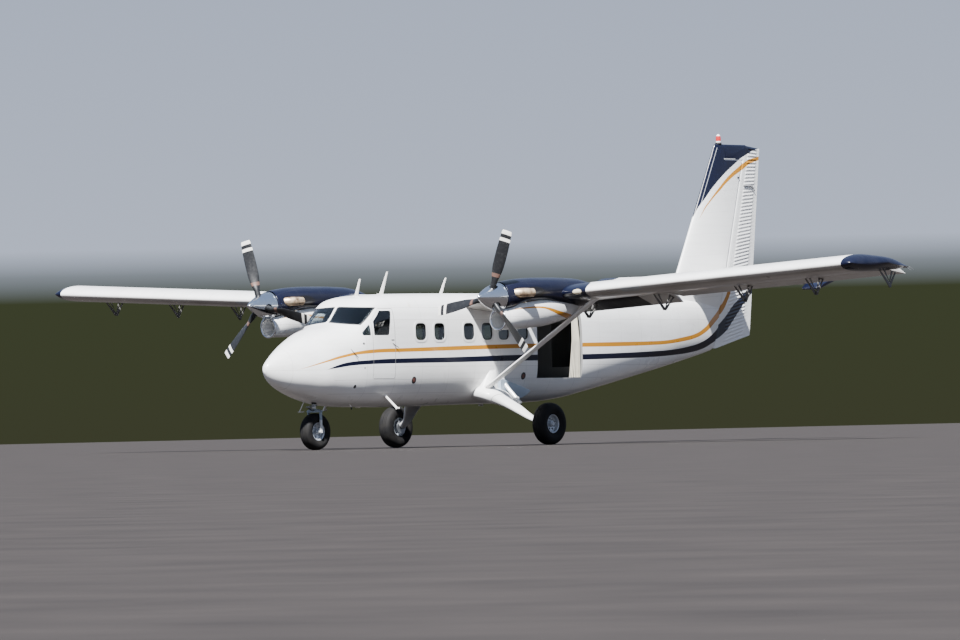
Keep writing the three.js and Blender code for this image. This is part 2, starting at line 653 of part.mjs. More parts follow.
function nacelles() {
  const upperSections = named(sectionColumns, upperCowlTable);
  const lowerSections = named(sectionColumns, lowerCowlTable);
  const cowl = (sections, offset, from, to) => bodyLoft(sections, offset, ENGINE.x, from, to, COWL_SIDES);
  const upper = cowl(upperSections, 0);
  const bayBore = cylinderAboutY(ENGINE.bayRadius, 3300, ENGINE.blockRear + 15, ENGINE.x, ENGINE.blockZ, 28);
  const bay = cowl(upperSections, -24, 3300, ENGINE.blockRear + 15).add(bayBore);
  const ports = exhaustStub(1, GAP).add(exhaustStub(-1, GAP));
  addPair('upper_cowl', upper.subtract(bay).subtract(ports).subtract(wingWholeGrown), 'navy');
  const duct = cylinderAboutY(intake.radius, intake.front, intake.front + intake.depth, ENGINE.x, intake.z, 24);
  const lower = cowl(lowerSections, 0).subtract(cowl(upperSections, GAP)).subtract(duct).subtract(bayBore)
    .subtract(wingWholeGrown);
  addPair('lower_cowl', largest(lower), 'white');
  const block = cylinderAboutY(ENGINE.blockRadius, ENGINE.blockFront, ENGINE.blockRear, ENGINE.x, ENGINE.blockZ, 24);
  addPair('engine', block.add(exhaustStub(1, 0)).add(exhaustStub(-1, 0)), 'exhaust');
}

function largest(manifold) {
  return manifold.decompose().sort((a, b) => b.volume() - a.volume())[0];
}

// A stub that leaves the engine's side and opens aft; a grown one is a plain rod, for cutting its port
function exhaustStub(side, grown) {
  const outer = exhaust.radius + grown;
  const inner = exhaust.radius - exhaust.wall;
  const profile = grown
    ? [[0, 100], [outer, 100], [outer, -exhaust.length], [0, -exhaust.length]]
    : [[0, -160], [inner, -160], [inner, 0], [outer, 0], [outer, -exhaust.length], [0, -exhaust.length]];
  const geometry = new THREE.LatheGeometry(profile.map(([radius, along]) => new THREE.Vector2(radius, along)), 16);
  geometry.rotateZ(-side * radians(exhaust.splay));
  geometry.translate(ENGINE.x + side * exhaust.reach, at(exhaust.mouth), exhaust.z);
  return solid(geometry);
}

// A propeller blade, from rows of distance from the shaft, chord, thickness and pitch in degrees
function bladeSolid() {
  const steps = [
    [60, 2 * PROP.shank, 2 * PROP.shank * 0.97, 60],
    [300, 2 * PROP.shank, 2 * PROP.shank * 0.9, 55],
    [430, 165, 62, 46],
    [640, 215, 34, 34],
    [900, 225, 24, 26],
    [1120, 215, 18, 20],
    [PROP.radius - 18, 190, 14, 16],
    [PROP.radius, 150, 9, 15],
  ];
  const rings = steps.map(([radius, chord, thickness, pitch]) => Array.from({ length: 10 }, (_, k) => {
    const angle = (2 * Math.PI * k) / 10;
    const u = 0.5 * chord * Math.cos(angle);
    const v = 0.5 * thickness * Math.sin(angle);
    const turn = radians(pitch);
    return new THREE.Vector3(u * Math.cos(turn) - v * Math.sin(turn), u * Math.sin(turn) + v * Math.cos(turn), radius);
  }));
  return solid(loft(rings));
}

function propeller(name, side, turn) {
  const hubCylinder = new THREE.CylinderGeometry(105, 105, 190, 18);
  let blades = solid(hubCylinder);
  for (let k = 0; k < 3; k += 1) {
    blades = blades.add(bladeSolid().rotate([0, 120 * k, 0]));
  }
  const place = (shape) => shape.rotate([0, turn, 0]).translate([side * ENGINE.x, at(PROP.disc), ENGINE.z]);
  add(`${name}_blades`, place(blades), 'blade');
  const local = (station) => station - PROP.disc;
  const shellProfile = [
    [0, PROP.tip], [28, PROP.tip + 12], [92, PROP.tip + 110], [162, PROP.tip + 240],
    [222, PROP.tip + 390], [PROP.baseRadius, PROP.base], [PROP.baseRadius - 14, PROP.base],
    [206, PROP.tip + 392], [146, PROP.tip + 246], [70, PROP.tip + 122], [0, PROP.tip + 60],
  ].map(([radius, station]) => new THREE.Vector2(radius, local(station)));
  let spinner = solid(new THREE.LatheGeometry(shellProfile, 24));
  for (let k = 0; k < 3; k += 1) {
    const hole = new THREE.CylinderGeometry(PROP.shank + 7, PROP.shank + 7, 400, 16);
    hole.rotateX(Math.PI / 2);
    hole.translate(0, 0, 260);
    spinner = spinner.subtract(solid(hole).rotate([0, 120 * k, 0]));
  }
  add(`${name}_spinner`, place(spinner), 'polished');
}

// Tail pieces

const finLead = (z) => FIN.leadAtBase + FIN.leadPerZ * (z - FIN.baseZ);
const finHinge = (z) => FIN.hingeAtBase + FIN.hingePerZ * (z - FIN.baseZ);
const finTrail = (z) => FIN.trailAtBase + FIN.trailPerZ * (z - FIN.baseZ);
const rudderRadius = (z) => mix(RUDDER.radiusLow, RUDDER.radiusHigh, (z - RUDDER.lowZ) / (FIN.topZ - RUDDER.lowZ));

const rudderFront = (z) => finHinge(z) - rudderRadius(z) - RUDDER.clearance;

function finRing(z, rear, grown) {
  const lead = finLead(z) - grown;
  const whole = finTrail(z) - lead;
  const cut = (rear - lead) / whole;
  const thickness = FIN.thickness + (2 * grown) / whole;
  return aerofoilOutline(0, thickness, cut, 8).map(([u, v]) => new THREE.Vector3(v * whole, at(lead + u * whole), z));
}

function finSolid(grown) {
  const main = solid(loft([FIN.baseZ, FIN.hornZ - 10].map((z) => finRing(z, rudderFront(z) + grown, grown))));
  const cap = solid(loft([FIN.hornZ - 12, FIN.topZ - 30, FIN.topZ].map((z, k) => {
    const ring = finRing(z, FIN.hornStation - 12 + grown, grown);
    return k < 2 ? ring : ring.map((p) => new THREE.Vector3(p.x * 0.55, mix(p.y, at(BEACON.station), 0.06), p.z));
  })));
  return main.add(cap);
}

function fin() {
  add('fin', finSolid(0).subtract(hullGrown).subtract(torqueTube(TORQUE_TUBE.radius + TORQUE_TUBE.clearance)), 'white');
  const dome = new THREE.LatheGeometry([
    [0, 0], [BEACON.radius + 14, 0], [BEACON.radius + 14, 30], [BEACON.radius, 34],
    [BEACON.radius, 130], [BEACON.radius * 0.7, 182], [0, BEACON.height - FIN.topZ - GAP],
  ].map(([radius, height]) => new THREE.Vector2(radius, height)), 18);
  dome.rotateX(Math.PI / 2);
  dome.translate(0, at(BEACON.station), FIN.topZ + GAP);
  add('beacon', solid(dome), 'red');
}

function rudder() {
  const ring = (z, trailZ) => {
    const hinge = finHinge(z);
    const trail = finTrail(trailZ);
    return teardrop(rudderRadius(z), trail - hinge).map(([u, v]) => new THREE.Vector3(
      v, at(hinge + u), z + (trailZ - z) * Math.max(0, u / (trail - hinge))));
  };
  const blade = solid(loft([ring(RUDDER.lowZ, RUDDER.lowTrailZ), ring(FIN.hornZ, FIN.hornZ), ring(5905, 5850)]));
  const hornRing = (z, flat) => {
    const lead = FIN.hornStation + (1 - flat) * 30;
    const half = 0.5 * FIN.thickness * (finTrail(z) - finLead(z)) * 0.82 * flat;
    const rear = finHinge(z);
    return [[lead, 0.86 * half], [rear, rudderRadius(z) * flat], [rear, -rudderRadius(z) * flat], [lead, -0.86 * half]]
      .map(([station, x]) => new THREE.Vector3(x, at(station), z));
  };
  const horn = solid(loft([hornRing(FIN.hornZ + 6, 1), hornRing(5890, 0.9), hornRing(5918, 0.55)]));
  add('rudder', blade.add(horn), 'white');
}

function tailplaneOutline(thicknessScale, rear, lead) {
  const whole = TAILPLANE.trail - lead;
  return aerofoilOutline(0, TAILPLANE.thickness * thicknessScale, (rear - lead) / whole, 8)
    .map(([u, v]) => [lead + u * whole, TAILPLANE.z + v * whole]);
}

function tailplanes() {
  const rear = TAILPLANE.hinge - TAILPLANE.radius - 16;
  const outline = tailplaneOutline(1, rear, TAILPLANE.lead);
  const half = sidePrism(outline, TAILPLANE.root, TAILPLANE.horn - 10);
  addPair('tailplane', half.subtract(finSolid(GAP)), 'white');
}

function elevators() {
  const length = TAILPLANE.trail - TAILPLANE.hinge;
  const ring = (x, flat) => teardrop(TAILPLANE.radius * flat, length * (flat < 1 ? 0.96 : 1))
    .map(([u, v]) => new THREE.Vector3(x, u, v));
  const blade = solid(loft([ring(165, 1), ring(TAILPLANE.tip - 60, 1), ring(TAILPLANE.tip, 0.5)]));
  const reach = TAILPLANE.hornLead - TAILPLANE.hinge;
  const hornOutline = Array.from({ length: 9 }, (_, k) => {
    const angle = Math.PI / 2 + (Math.PI * k) / 8;
    return [reach * 0.62 + (reach * -0.38) * Math.cos(angle), 56 * Math.sin(angle)];
  });
  const hornRing = (x, flat) => [...hornOutline, [0, -TAILPLANE.radius * 0.98], [0, TAILPLANE.radius * 0.98]]
    .map(([u, v]) => new THREE.Vector3(x, u * mix(1, flat, 0.3), v * flat));
  const horn = solid(loft([hornRing(TAILPLANE.horn, 1), hornRing(TAILPLANE.tip - 70, 1), hornRing(TAILPLANE.tip, 0.45)]));
  const whole = blade.add(horn).rotate([TAILPLANE.restAngle, 0, 0])
    .translate([0, at(TAILPLANE.hinge), TAILPLANE.z]);
  add('elevators', whole.add(mirrored(whole)).add(torqueTube(TORQUE_TUBE.radius)), 'white');
}

function torqueTube(radius) {
  return rod([-TORQUE_TUBE.reach, TAILPLANE.hinge, TAILPLANE.z], [TORQUE_TUBE.reach, TAILPLANE.hinge, TAILPLANE.z], radius);
}

// Landing gear pieces

function gearLegSolid() {
  const sections = named(legColumns, legTable);
  const build = (grown) => solid(loft(sections.map((section) => {
    const sides = 16;
    return Array.from({ length: sides }, (_, k) => {
      const angle = (2 * Math.PI * (k + 0.5)) / sides;
      const power = 0.8;
      const c = Math.sign(Math.cos(angle)) * Math.abs(Math.cos(angle)) ** power;
      const s = Math.sign(Math.sin(angle)) * Math.abs(Math.sin(angle)) ** power;
      const lift = (section.depth / 2 + grown) * s;
      return new THREE.Vector3(
        section.x + lift * 0.55,
        at(section.station + (section.chord / 2 + grown) * c),
        section.z + lift * 0.84,
      );
    });
  })));
  const hip = (grown) => solid(loft(named(hipColumns, hipTable).map((level) => Array.from({ length: 16 }, (_, k) => {
    const angle = (2 * Math.PI * (k + 0.5)) / 16;
    return new THREE.Vector3(
      level.x + (level.halfAcross + grown) * Math.cos(angle),
      at(level.station + (level.halfAlong + grown) * Math.sin(angle)),
      level.z + (level.z > 1400 ? grown : 0),
    );
  }))));
  return { plain: build(0).add(hip(0)), grown: build(GAP).add(hip(GAP)) };
}

function tyreSolid({ radius, width, rim }, x, station) {
  const half = width / 2;
  const profile = [[rim, -half * 0.72]];
  const steps = 10;
  for (let k = 0; k <= steps; k += 1) {
    const angle = -Math.PI / 2 + (Math.PI * k) / steps;
    const shoulder = Math.sign(Math.sin(angle)) * Math.abs(Math.sin(angle)) ** 0.75;
    profile.push([radius - (radius - rim) * 0.62 * (1 - Math.abs(Math.cos(angle)) ** 0.75), half * shoulder]);
  }
  profile.push([rim, half * 0.72], [rim, -half * 0.72]);
  return turnedAboutX(profile, x, station, radius, WHEEL_SEGMENTS);
}

function rimSolid({ radius, width, rim }, x, station, bore) {
  const half = width * 0.34;
  const r = rim - GAP;
  return turnedAboutX([
    [bore, -half * 0.5], [r * 0.5, -half * 0.55], [r * 0.9, -half * 0.8], [r, -half],
    [r, half], [r * 0.9, half * 0.8], [r * 0.5, half * 0.55], [bore, half * 0.9], [bore, -half * 0.5],
  ], x, station, radius, WHEEL_SEGMENTS);
}

function mainGear() {
  const { plain } = gearLegSolid();
  const axleEnd = HALF_TRACK + 70;
  const brace = rod(legBrace.low, legBrace.high, legBrace.radius);
  const axle = rod([1680, MAIN_WHEEL.station, MAIN_WHEEL.radius], [axleEnd, MAIN_WHEEL.station, MAIN_WHEEL.radius], 34);
  addPair('main_gear_leg', plain.add(brace).add(axle).subtract(hullGrown), 'white');
  addPair('main_rim', rimSolid(MAIN_WHEEL, HALF_TRACK, MAIN_WHEEL.station, 34 + 6), 'rim');
  addPair('main_tyre', tyreSolid(MAIN_WHEEL, HALF_TRACK, MAIN_WHEEL.station), 'rubber');
}

function noseGear() {
  const { station, radius, width } = NOSE_WHEEL;
  const legStation = station + oleo.aft;
  const leg = rod([0, legStation, oleo.low], [0, legStation, oleo.high], oleo.radius, 18);
  add('nose_gear_leg', leg.subtract(hullGrown), 'steel');
  const inner = width / 2 + fork.inner;
  const outer = inner + fork.wall;
  const crown = box(-outer, outer, station - fork.ahead, station + fork.behind, fork.low, fork.high);
  const arm = (side) => sidePrism([
    [station - fork.ahead, fork.high - 10], [station - fork.armHalf, radius - 30],
    [station + fork.armHalf, radius - 30], [station + fork.behind, fork.high - 10],
  ], side * inner, side * outer);
  const axle = rod([-outer - 8, station, radius], [outer + 8, station, radius], 26);
  add('nose_fork', crown.add(arm(1)).add(arm(-1)).add(axle), 'steel');
  add('nose_rim', rimSolid(NOSE_WHEEL, 0, station, 26 + 6), 'rim');
  add('nose_tyre', tyreSolid(NOSE_WHEEL, 0, station), 'rubber');
}

nose();
cockpit();
cabin();
cockpitFittings();
doorwayCurtain();
tailCone();
wings();
nacelles();
propeller('propeller_left', 1, PROP.portTurn);
propeller('propeller_right', -1, PROP.starboardTurn);
fin();
rudder();
tailplanes();
elevators();
mainGear();
noseGear();

export default model;
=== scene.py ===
# Twin-engine high-wing utility turboprop, parked on its wheels.
# Metres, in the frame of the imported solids: nose along -Y, port wing along +X, ground at Z = 0.
# Stations are distances aft of the nose tip.
import math
from contextlib import contextmanager

import bmesh
import bpy
import numpy as np
from mathutils import Matrix, Vector


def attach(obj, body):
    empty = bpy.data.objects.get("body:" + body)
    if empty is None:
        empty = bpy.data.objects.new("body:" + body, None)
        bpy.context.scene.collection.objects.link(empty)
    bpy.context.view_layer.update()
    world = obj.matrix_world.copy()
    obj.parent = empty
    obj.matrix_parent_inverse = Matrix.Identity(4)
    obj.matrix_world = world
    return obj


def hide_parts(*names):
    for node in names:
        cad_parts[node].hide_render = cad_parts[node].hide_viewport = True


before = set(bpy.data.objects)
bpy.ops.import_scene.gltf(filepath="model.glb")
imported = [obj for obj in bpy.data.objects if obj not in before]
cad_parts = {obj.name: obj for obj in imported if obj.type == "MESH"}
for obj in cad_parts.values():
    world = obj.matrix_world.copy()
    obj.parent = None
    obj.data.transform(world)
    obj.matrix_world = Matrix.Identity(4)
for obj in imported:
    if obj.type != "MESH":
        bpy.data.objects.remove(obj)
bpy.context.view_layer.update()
LENGTH = 15.09


def at(station):
    """Y of a station."""
    return station - LENGTH / 2


def station_of(y):
    return y + LENGTH / 2


# Nose cone
# A moulded nose of painted sheet over frames, screwed to the front frame of the cockpit. Its skin follows
# the same table of sections as the rest of the fuselage: station, half width, bottom, top, height of the
# widest place, and how square the upper and the lower half are.
hull_table = np.array([
    [0.000, 0.028, 1.476, 1.542, 1.510, 2.0, 2.0],
    [0.020, 0.062, 1.418, 1.594, 1.506, 2.0, 2.0],
    [0.060, 0.100, 1.360, 1.638, 1.500, 2.0, 2.0],
    [0.130, 0.148, 1.292, 1.690, 1.490, 2.05, 2.05],
    [0.250, 0.220, 1.213, 1.774, 1.480, 2.1, 2.1],
    [0.450, 0.333, 1.125, 1.892, 1.475, 2.2, 2.2],
    [0.800, 0.515, 1.012, 2.063, 1.485, 2.3, 2.3],
    [1.200, 0.690, 0.914, 2.210, 1.530, 2.5, 2.5],
    [1.780, 0.805, 0.815, 2.378, 1.600, 3.0, 2.8],
    [2.070, 0.836, 0.800, 2.672, 1.680, 3.4, 3.0],
    [2.310, 0.852, 0.792, 2.822, 1.720, 4.0, 3.0],
    [2.750, 0.868, 0.785, 2.882, 1.740, 4.2, 3.0],
    [3.300, 0.874, 0.780, 2.902, 1.750, 4.2, 3.0],
    [5.200, 0.875, 0.800, 2.914, 1.750, 4.2, 3.0],
    [7.400, 0.874, 0.825, 2.914, 1.750, 4.2, 3.0],
    [8.100, 0.868, 0.880, 2.908, 1.770, 4.1, 3.0],
    [8.750, 0.845, 0.978, 2.900, 1.830, 3.8, 2.9],
    [11.09, 0.545, 1.375, 2.848, 2.060, 3.0, 2.7],
    [12.80, 0.262, 1.690, 2.800, 2.220, 2.5, 2.5],
    [13.62, 0.112, 1.862, 2.776, 2.320, 2.3, 2.3],
])
COCKPIT_FRONT, CABIN_FRONT, BULKHEAD, TAIL_END = 1.2, 3.05, 8.75, 13.62
SEAM = 0.0004


def smooth_through(xs, ys, x):
    """A smooth curve through the rows of a table that never overshoots them."""
    step = np.diff(xs)
    slope = np.diff(ys) / step
    tangent = np.zeros(len(xs))
    for i in range(1, len(xs) - 1):
        if slope[i - 1] * slope[i] > 0:
            near, far = 2 * step[i] + step[i - 1], step[i] + 2 * step[i - 1]
            tangent[i] = (near + far) / (near / slope[i - 1] + far / slope[i])
    tangent[0], tangent[-1] = slope[0], slope[-1]
    k = int(np.clip(np.searchsorted(xs, x, side="right") - 1, 0, len(xs) - 2))
    t = (x - xs[k]) / step[k]
    return (ys[k] * (1 + 2 * t) * (1 - t) ** 2 + tangent[k] * step[k] * t * (1 - t) ** 2
            + ys[k + 1] * t * t * (3 - 2 * t) + tangent[k + 1] * step[k] * t * t * (t - 1))


def section_of(table, station):
    """The sizes of a body's section at a station, from its table."""
    root = np.sqrt(table[:, 0] - table[0, 0])
    along = math.sqrt(min(max(station, table[0, 0]), table[-1, 0]) - table[0, 0])
    return [smooth_through(root, table[:, column], along) for column in range(1, 7)]


def section_ring(table, station, inward=0.0, centre=0.0, sides=144):
    """Evenly spaced points round a section, from the keel."""
    half, bottom, top, widest, square_top, square_low = section_of(table, station)
    angle = np.linspace(-math.pi / 2, 1.5 * math.pi, 1441)
    across, rise = np.cos(angle), np.sin(angle)
    power = 2 / np.where(rise > 0, square_top, square_low)
    height = np.where(rise > 0, top - widest, widest - bottom)
    x = (half - inward) * np.sign(across) * np.abs(across) ** power
    z = widest + (height - inward) * np.sign(rise) * np.abs(rise) ** power
    length = np.concatenate([[0], np.cumsum(np.hypot(np.diff(x), np.diff(z)))])
    even = np.linspace(0, length[-1], sides + 1)[:-1]
    return [(centre + a, at(station), b)
            for a, b in zip(np.interp(even, length, x), np.interp(even, length, z))]


@contextmanager
def edited(mesh):
    """A mesh opened for changes, which are written back to it."""
    work = bmesh.new()
    work.from_mesh(mesh)
    yield work
    work.to_mesh(mesh)
    work.free()


def placed(name, data):
    """A new object in the scene."""
    piece = bpy.data.objects.new(name, data)
    bpy.context.scene.collection.objects.link(piece)
    return piece


def made_of(name, points, faces):
    mesh = bpy.data.meshes.new(name)
    mesh.from_pydata([tuple(p) for p in points], [], faces)
    with edited(mesh) as work:
        bmesh.ops.recalc_face_normals(work, faces=work.faces)
    return placed(name, mesh)


def loft(name, rings, closed=False):
    """A skin through rings of equal count: capped at both ends, or joined end to end."""
    count = len(rings[0])
    points = [p for ring in rings for p in ring]
    faces = []
    for r in range(len(rings) if closed else len(rings) - 1):
        a, b = r * count, ((r + 1) % len(rings)) * count
        faces += [(a + k, a + (k + 1) % count, b + (k + 1) % count, b + k) for k in range(count)]
    if not closed:
        faces += [tuple(range(count)), tuple(range(len(points) - count, len(points)))]
    return made_of(name, points, faces)


def body_form(name, table, first, last, step, inward=0.0, centre=0.0, sides=144):
    """A closed fuselage or cowl form between two stations."""
    count = max(2, int((last - first) / step) + 1)
    spread = np.linspace(0, 1, count) ** (2 if first <= table[0, 0] + 1e-9 else 1)
    stations = first + (last - first) * spread
    return loft(name, [section_ring(table, s, inward, centre, sides) for s in stations])


def cut(piece, *tools, how="DIFFERENCE"):
    """Cuts a closed piece with closed tools, or keeps what they share, and uses the tools up."""
    for tool in tools:
        modifier = piece.modifiers.new("cut", "BOOLEAN")
        modifier.solver, modifier.operation, modifier.object = "MANIFOLD", how, tool
    bpy.context.view_layer.update()
    whole = bpy.data.meshes.new_from_object(piece.evaluated_get(bpy.context.evaluated_depsgraph_get()))
    piece.modifiers.clear()
    piece.data = whole
    for tool in tools:
        bpy.data.objects.remove(tool)
    return piece


def joined(name, *parts):
    """One object from several closed forms that don't touch, or that overlap where it doesn't show."""
    points, faces = [], []
    for part in parts:
        start = len(points)
        points += [tuple(part.matrix_world @ v.co) for v in part.data.vertices]
        faces += [tuple(start + i for i in polygon.vertices) for polygon in part.data.polygons]
        bpy.data.objects.remove(part)
    mesh = bpy.data.meshes.new(name)
    mesh.from_pydata(points, [], faces)
    return placed(name, mesh)


def mirrored(piece, name):
    """The starboard twin of a port piece."""
    mesh = piece.data.copy()
    mesh.transform(Matrix.Diagonal((-1, 1, 1, 1)))
    mesh.flip_normals()
    return placed(name, mesh)


MERGE = 1e-5


def fitted(piece, body, finish, slot, stands_for=(), crease=32):
    """Smooths a piece up to its creases, gives it its finish and fixes it to its body."""
    with edited(piece.data) as work:
        bmesh.ops.remove_doubles(work, verts=work.verts, dist=MERGE)
        bmesh.ops.dissolve_degenerate(work, edges=work.edges, dist=MERGE)
        for face in work.faces:
            face.smooth = True
        for edge in work.edges:
            edge.smooth = len(edge.link_faces) == 2 and edge.calc_face_angle(0) < math.radians(crease)
    piece.data.materials.clear()
    piece.data.materials.append(finish.material)
    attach(piece, body)
    if stands_for:
        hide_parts(*stands_for)
    return piece


class Tone:
    """A shader socket. Sums and products of it add the Math nodes they need."""

    def __init__(self, finish, socket):
        self.finish, self.socket = finish, socket

    def sums(self, operation, *values):
        return self.finish.node("ShaderNodeMath", values, operation=operation)

    def __add__(self, other):
        return self.sums("ADD", self, other)

    def __sub__(self, other):
        return self.sums("SUBTRACT", self, other)

    def __rsub__(self, other):
        return self.sums("SUBTRACT", other, self)

    def __mul__(self, other):
        return self.sums("MULTIPLY", self, other)

    def __truediv__(self, other):
        return self.sums("DIVIDE", self, other)

    def __pow__(self, other):
        return self.sums("POWER", self, other)

    def __abs__(self):
        return self.sums("ABSOLUTE", self)

    __radd__, __rmul__ = __add__, __mul__

    def least(self, other):
        return self.sums("MINIMUM", self, other)

    def held(self):
        """Held between 0 and 1."""
        return self.sums("MINIMUM", self.sums("MAXIMUM", self, 0), 1)

    def over(self, edge, soft=0.004):
        """1 where the value is above the edge, 0 below it."""
        return ((self - edge) / soft + 0.5).held()

    def under(self, edge, soft=0.004):
        return 1 - self.over(edge, soft)

    def between(self, low, high, soft=0.004):
        return self.over(low, soft) * self.under(high, soft)

    def near(self, centre, half, soft=0.003):
        return abs(self - centre).under(half, soft)

    def every(self, pitch, first=0.0):
        """Distance to the nearest of a row of places a pitch apart."""
        return self.sums("PINGPONG", self - first, pitch / 2)


class Finish:
    """A material, with its nodes added through one method."""

    def __init__(self, name, colour, roughness, metallic=0.0, **uniform):
        self.material = bpy.data.materials.new(name)
        self.material.use_nodes = True
        self.tree = self.material.node_tree
        self.shader = self.tree.nodes["Principled BSDF"]
        self.set("Base Color", colour)
        self.set("Roughness", roughness)
        self.set("Metallic", metallic)
        for socket, value in uniform.items():
            self.set(socket.replace("_", " ").title().replace("Ior", "IOR"), value)
        self.heights = []

    def set(self, socket, value):
        self.feed(self.shader.inputs[socket], value)

    def feed(self, socket, value):
        if isinstance(value, Tone):
            self.tree.links.new(value.socket, socket)
        elif hasattr(socket.default_value, "__len__") and not hasattr(value, "__len__"):
            socket.default_value = [value] * len(socket.default_value)
        elif hasattr(value, "__len__") and len(socket.default_value) == 4 and len(value) == 3:
            socket.default_value = (*value, 1)
        else:
            socket.default_value = value

    def node(self, kind, values=(), output=0, stops=None, curve=None, **settings):
        made = self.tree.nodes.new(kind)
        for key, value in settings.items():
            setattr(made, key, value)
        if stops:
            ramp = made.color_ramp
            while len(ramp.elements) < len(stops):
                ramp.elements.new(0.5)
            for element, (place, colour) in zip(ramp.elements, stops):
                element.position = place
                element.color = (*colour, 1)
        if curve:
            line = made.mapping.curves[0]
            line.points[0].location, line.points[-1].location = curve[0], curve[-1]
            for place in curve[1:-1]:
                line.points.new(*place)
            made.mapping.update()
        for key, value in (values.items() if isinstance(values, dict) else enumerate(values)):
            if value is not None:
                self.feed(made.inputs[key], value)
        return Tone(self, made.outputs[output])

    def place(self):
        """X, Y and Z of a point of the piece at rest."""
        if not hasattr(self, "axes"):
            where = self.node("ShaderNodeTexCoord", output="Object")
            apart = self.node("ShaderNodeSeparateXYZ", [where])
            outputs = apart.socket.node.outputs
            self.axes = [Tone(self, outputs[axis]) for axis in "XYZ"]
            self.where = where
        return self.axes

    def noise(self, scale, detail=3.0, rough=0.5, stretch=(1, 1, 1)):
        self.place()
        spread = self.node("ShaderNodeVectorMath", [self.where, tuple(scale * s for s in stretch)],
                           operation="MULTIPLY")
        return self.node("ShaderNodeTexNoise", {"Vector": spread, "Scale": 1.0, "Detail": detail,
                                                "Roughness": rough})

    def blend(self, mask, low, high):
        """A colour that is low where the mask is 0 and high where it is 1."""
        return self.node("ShaderNodeMix", {0: mask, 6: low, 7: high}, output=2, data_type="RGBA")

    def paint(self, mask, low, high):
        self.set("Base Color", self.blend(mask, low, high))

    def curve(self, value, span_in, span_out, points):
        """A value read from a drawn line through points."""
        (a, b), (c, d) = span_in, span_out
        scaled = [((x - a) / (b - a), (y - c) / (d - c)) for x, y in points]
        read = self.node("ShaderNodeFloatCurve", {"Factor": 1.0, "Value": (value - a) / (b - a)},
                         curve=scaled)
        return read * (d - c) + c

    def raised(self, height, distance):
        """Adds relief: a height from 0 to 1, and the metres that 1 stands for."""
        self.heights.append(height * distance)

    def close(self, strength=1.0):
        """Joins all relief into one Bump node."""
        if self.heights:
            total = self.heights[0]
            for height in self.heights[1:]:
                total = total + height
            bump = self.node("ShaderNodeBump", {"Strength": strength, "Distance": 1.0, "Height": total})
            self.set("Normal", bump)
        return self


WHITE, NAVY, GOLD = (0.82, 0.82, 0.81), (0.0016, 0.0026, 0.013), (0.46, 0.19, 0.006)
gold_upper = [(0.50, 1.49), (0.639, 1.529), (0.896, 1.611), (1.063, 1.664), (1.266, 1.725), (1.48, 1.770),
              (1.70, 1.809), (2.00, 1.843), (2.35, 1.860), (2.86, 1.868), (4.41, 1.901), (5.99, 1.930),
              (8.35, 1.951), (9.31, 1.960), (10.62, 1.975), (11.29, 1.993), (11.98, 2.056), (12.45, 2.118),
              (12.84, 2.234), (13.18, 2.422), (13.55, 2.640), (13.74, 2.810), (13.87, 2.990), (14.03, 3.400)]
gold_lower = [(0.50, 1.49), (0.639, 1.522), (0.894, 1.587), (1.060, 1.631), (1.261, 1.678), (1.48, 1.720),
              (1.69, 1.752), (2.00, 1.775), (2.35, 1.791), (2.86, 1.797), (4.41, 1.823), (5.99, 1.850),
              (8.35, 1.870), (9.31, 1.875), (10.62, 1.897), (11.29, 1.918), (11.98, 1.972), (12.46, 2.033),
              (12.84, 2.131), (13.29, 2.343), (13.67, 2.576), (13.85, 2.776), (13.96, 2.940), (14.03, 3.400)]
navy_upper = [(0.96, 1.440), (1.055, 1.490), (1.254, 1.565), (1.47, 1.613), (1.68, 1.635), (2.00, 1.652),
              (2.35, 1.668), (2.72, 1.675), (4.40, 1.695), (5.98, 1.721), (8.34, 1.731), (9.31, 1.745),
              (10.63, 1.776), (11.54, 1.810), (12.25, 1.873), (12.71, 1.948), (13.18, 2.109), (13.51, 2.299),
              (13.80, 2.488), (14.04, 2.688), (14.36, 2.877), (14.76, 3.120)]
navy_lower = [(0.96, 1.440), (1.055, 1.487), (1.252, 1.513), (1.47, 1.543), (1.68, 1.560), (1.99, 1.574),
              (2.35, 1.581), (2.72, 1.586), (4.40, 1.595), (5.98, 1.612), (8.34, 1.623), (9.31, 1.638),
              (10.66, 1.665), (11.59, 1.701), (12.32, 1.751), (12.78, 1.812), (13.22, 1.939), (13.69, 2.124),
              (14.00, 2.356), (14.30, 2.612), (14.50, 2.770), (14.76, 2.950)]


def stripe(finish, upper, lower, heights=(1.4, 3.5)):
    """Mask of a painted band between two drawn edges, which lie between two heights."""
    _, y, z = finish.place()
    station = station_of(y)
    span = (upper[0][0], upper[-1][0])
    top = finish.curve(station, span, heights, upper)
    low = finish.curve(station, span, heights, lower)
    return (top - z).over(0, 0.006) * (z - low).over(0, 0.006) * station.between(*span)


def weathered(finish, colour, strength=1.0):
    """Grime in soft clouds and in streaks that run aft."""
    clouds = finish.noise(0.9, 5).over(0.62, 0.5) * 0.16
    streaks = finish.noise(5.0, 4, 0.6, (1, 0.1, 2.2)).over(0.60, 0.25) * 0.14
    return finish.blend((clouds + streaks) * strength, colour, (0.33, 0.31, 0.27))


def rivets_beside(lap, along, pitch=0.03, gap=0.014):
    """Distance to the nearest rivet in the row beside a lap."""
    return (along.every(pitch) ** 2 + abs(lap - gap) ** 2) ** 0.5


def seam_lines(finish, pitch, rows):
    """Sheet laps round the body every pitch, laps along it at given heights, and the rivets beside them."""
    _, y, z = finish.place()
    station = station_of(y)
    round_lap = station.every(pitch, 0.43)
    along_lap = abs(z - rows[0])
    for row in rows[1:]:
        along_lap = along_lap.least(abs(z - row))
    laps = round_lap.least(along_lap).under(0.003, 0.004)
    finish.raised(laps, -0.0012)
    rivets = rivets_beside(round_lap, z, 0.028, 0.016).least(rivets_beside(along_lap, station, 0.028, 0.016))
    finish.raised(rivets.under(0.0035, 0.003), 0.0009)
    return laps


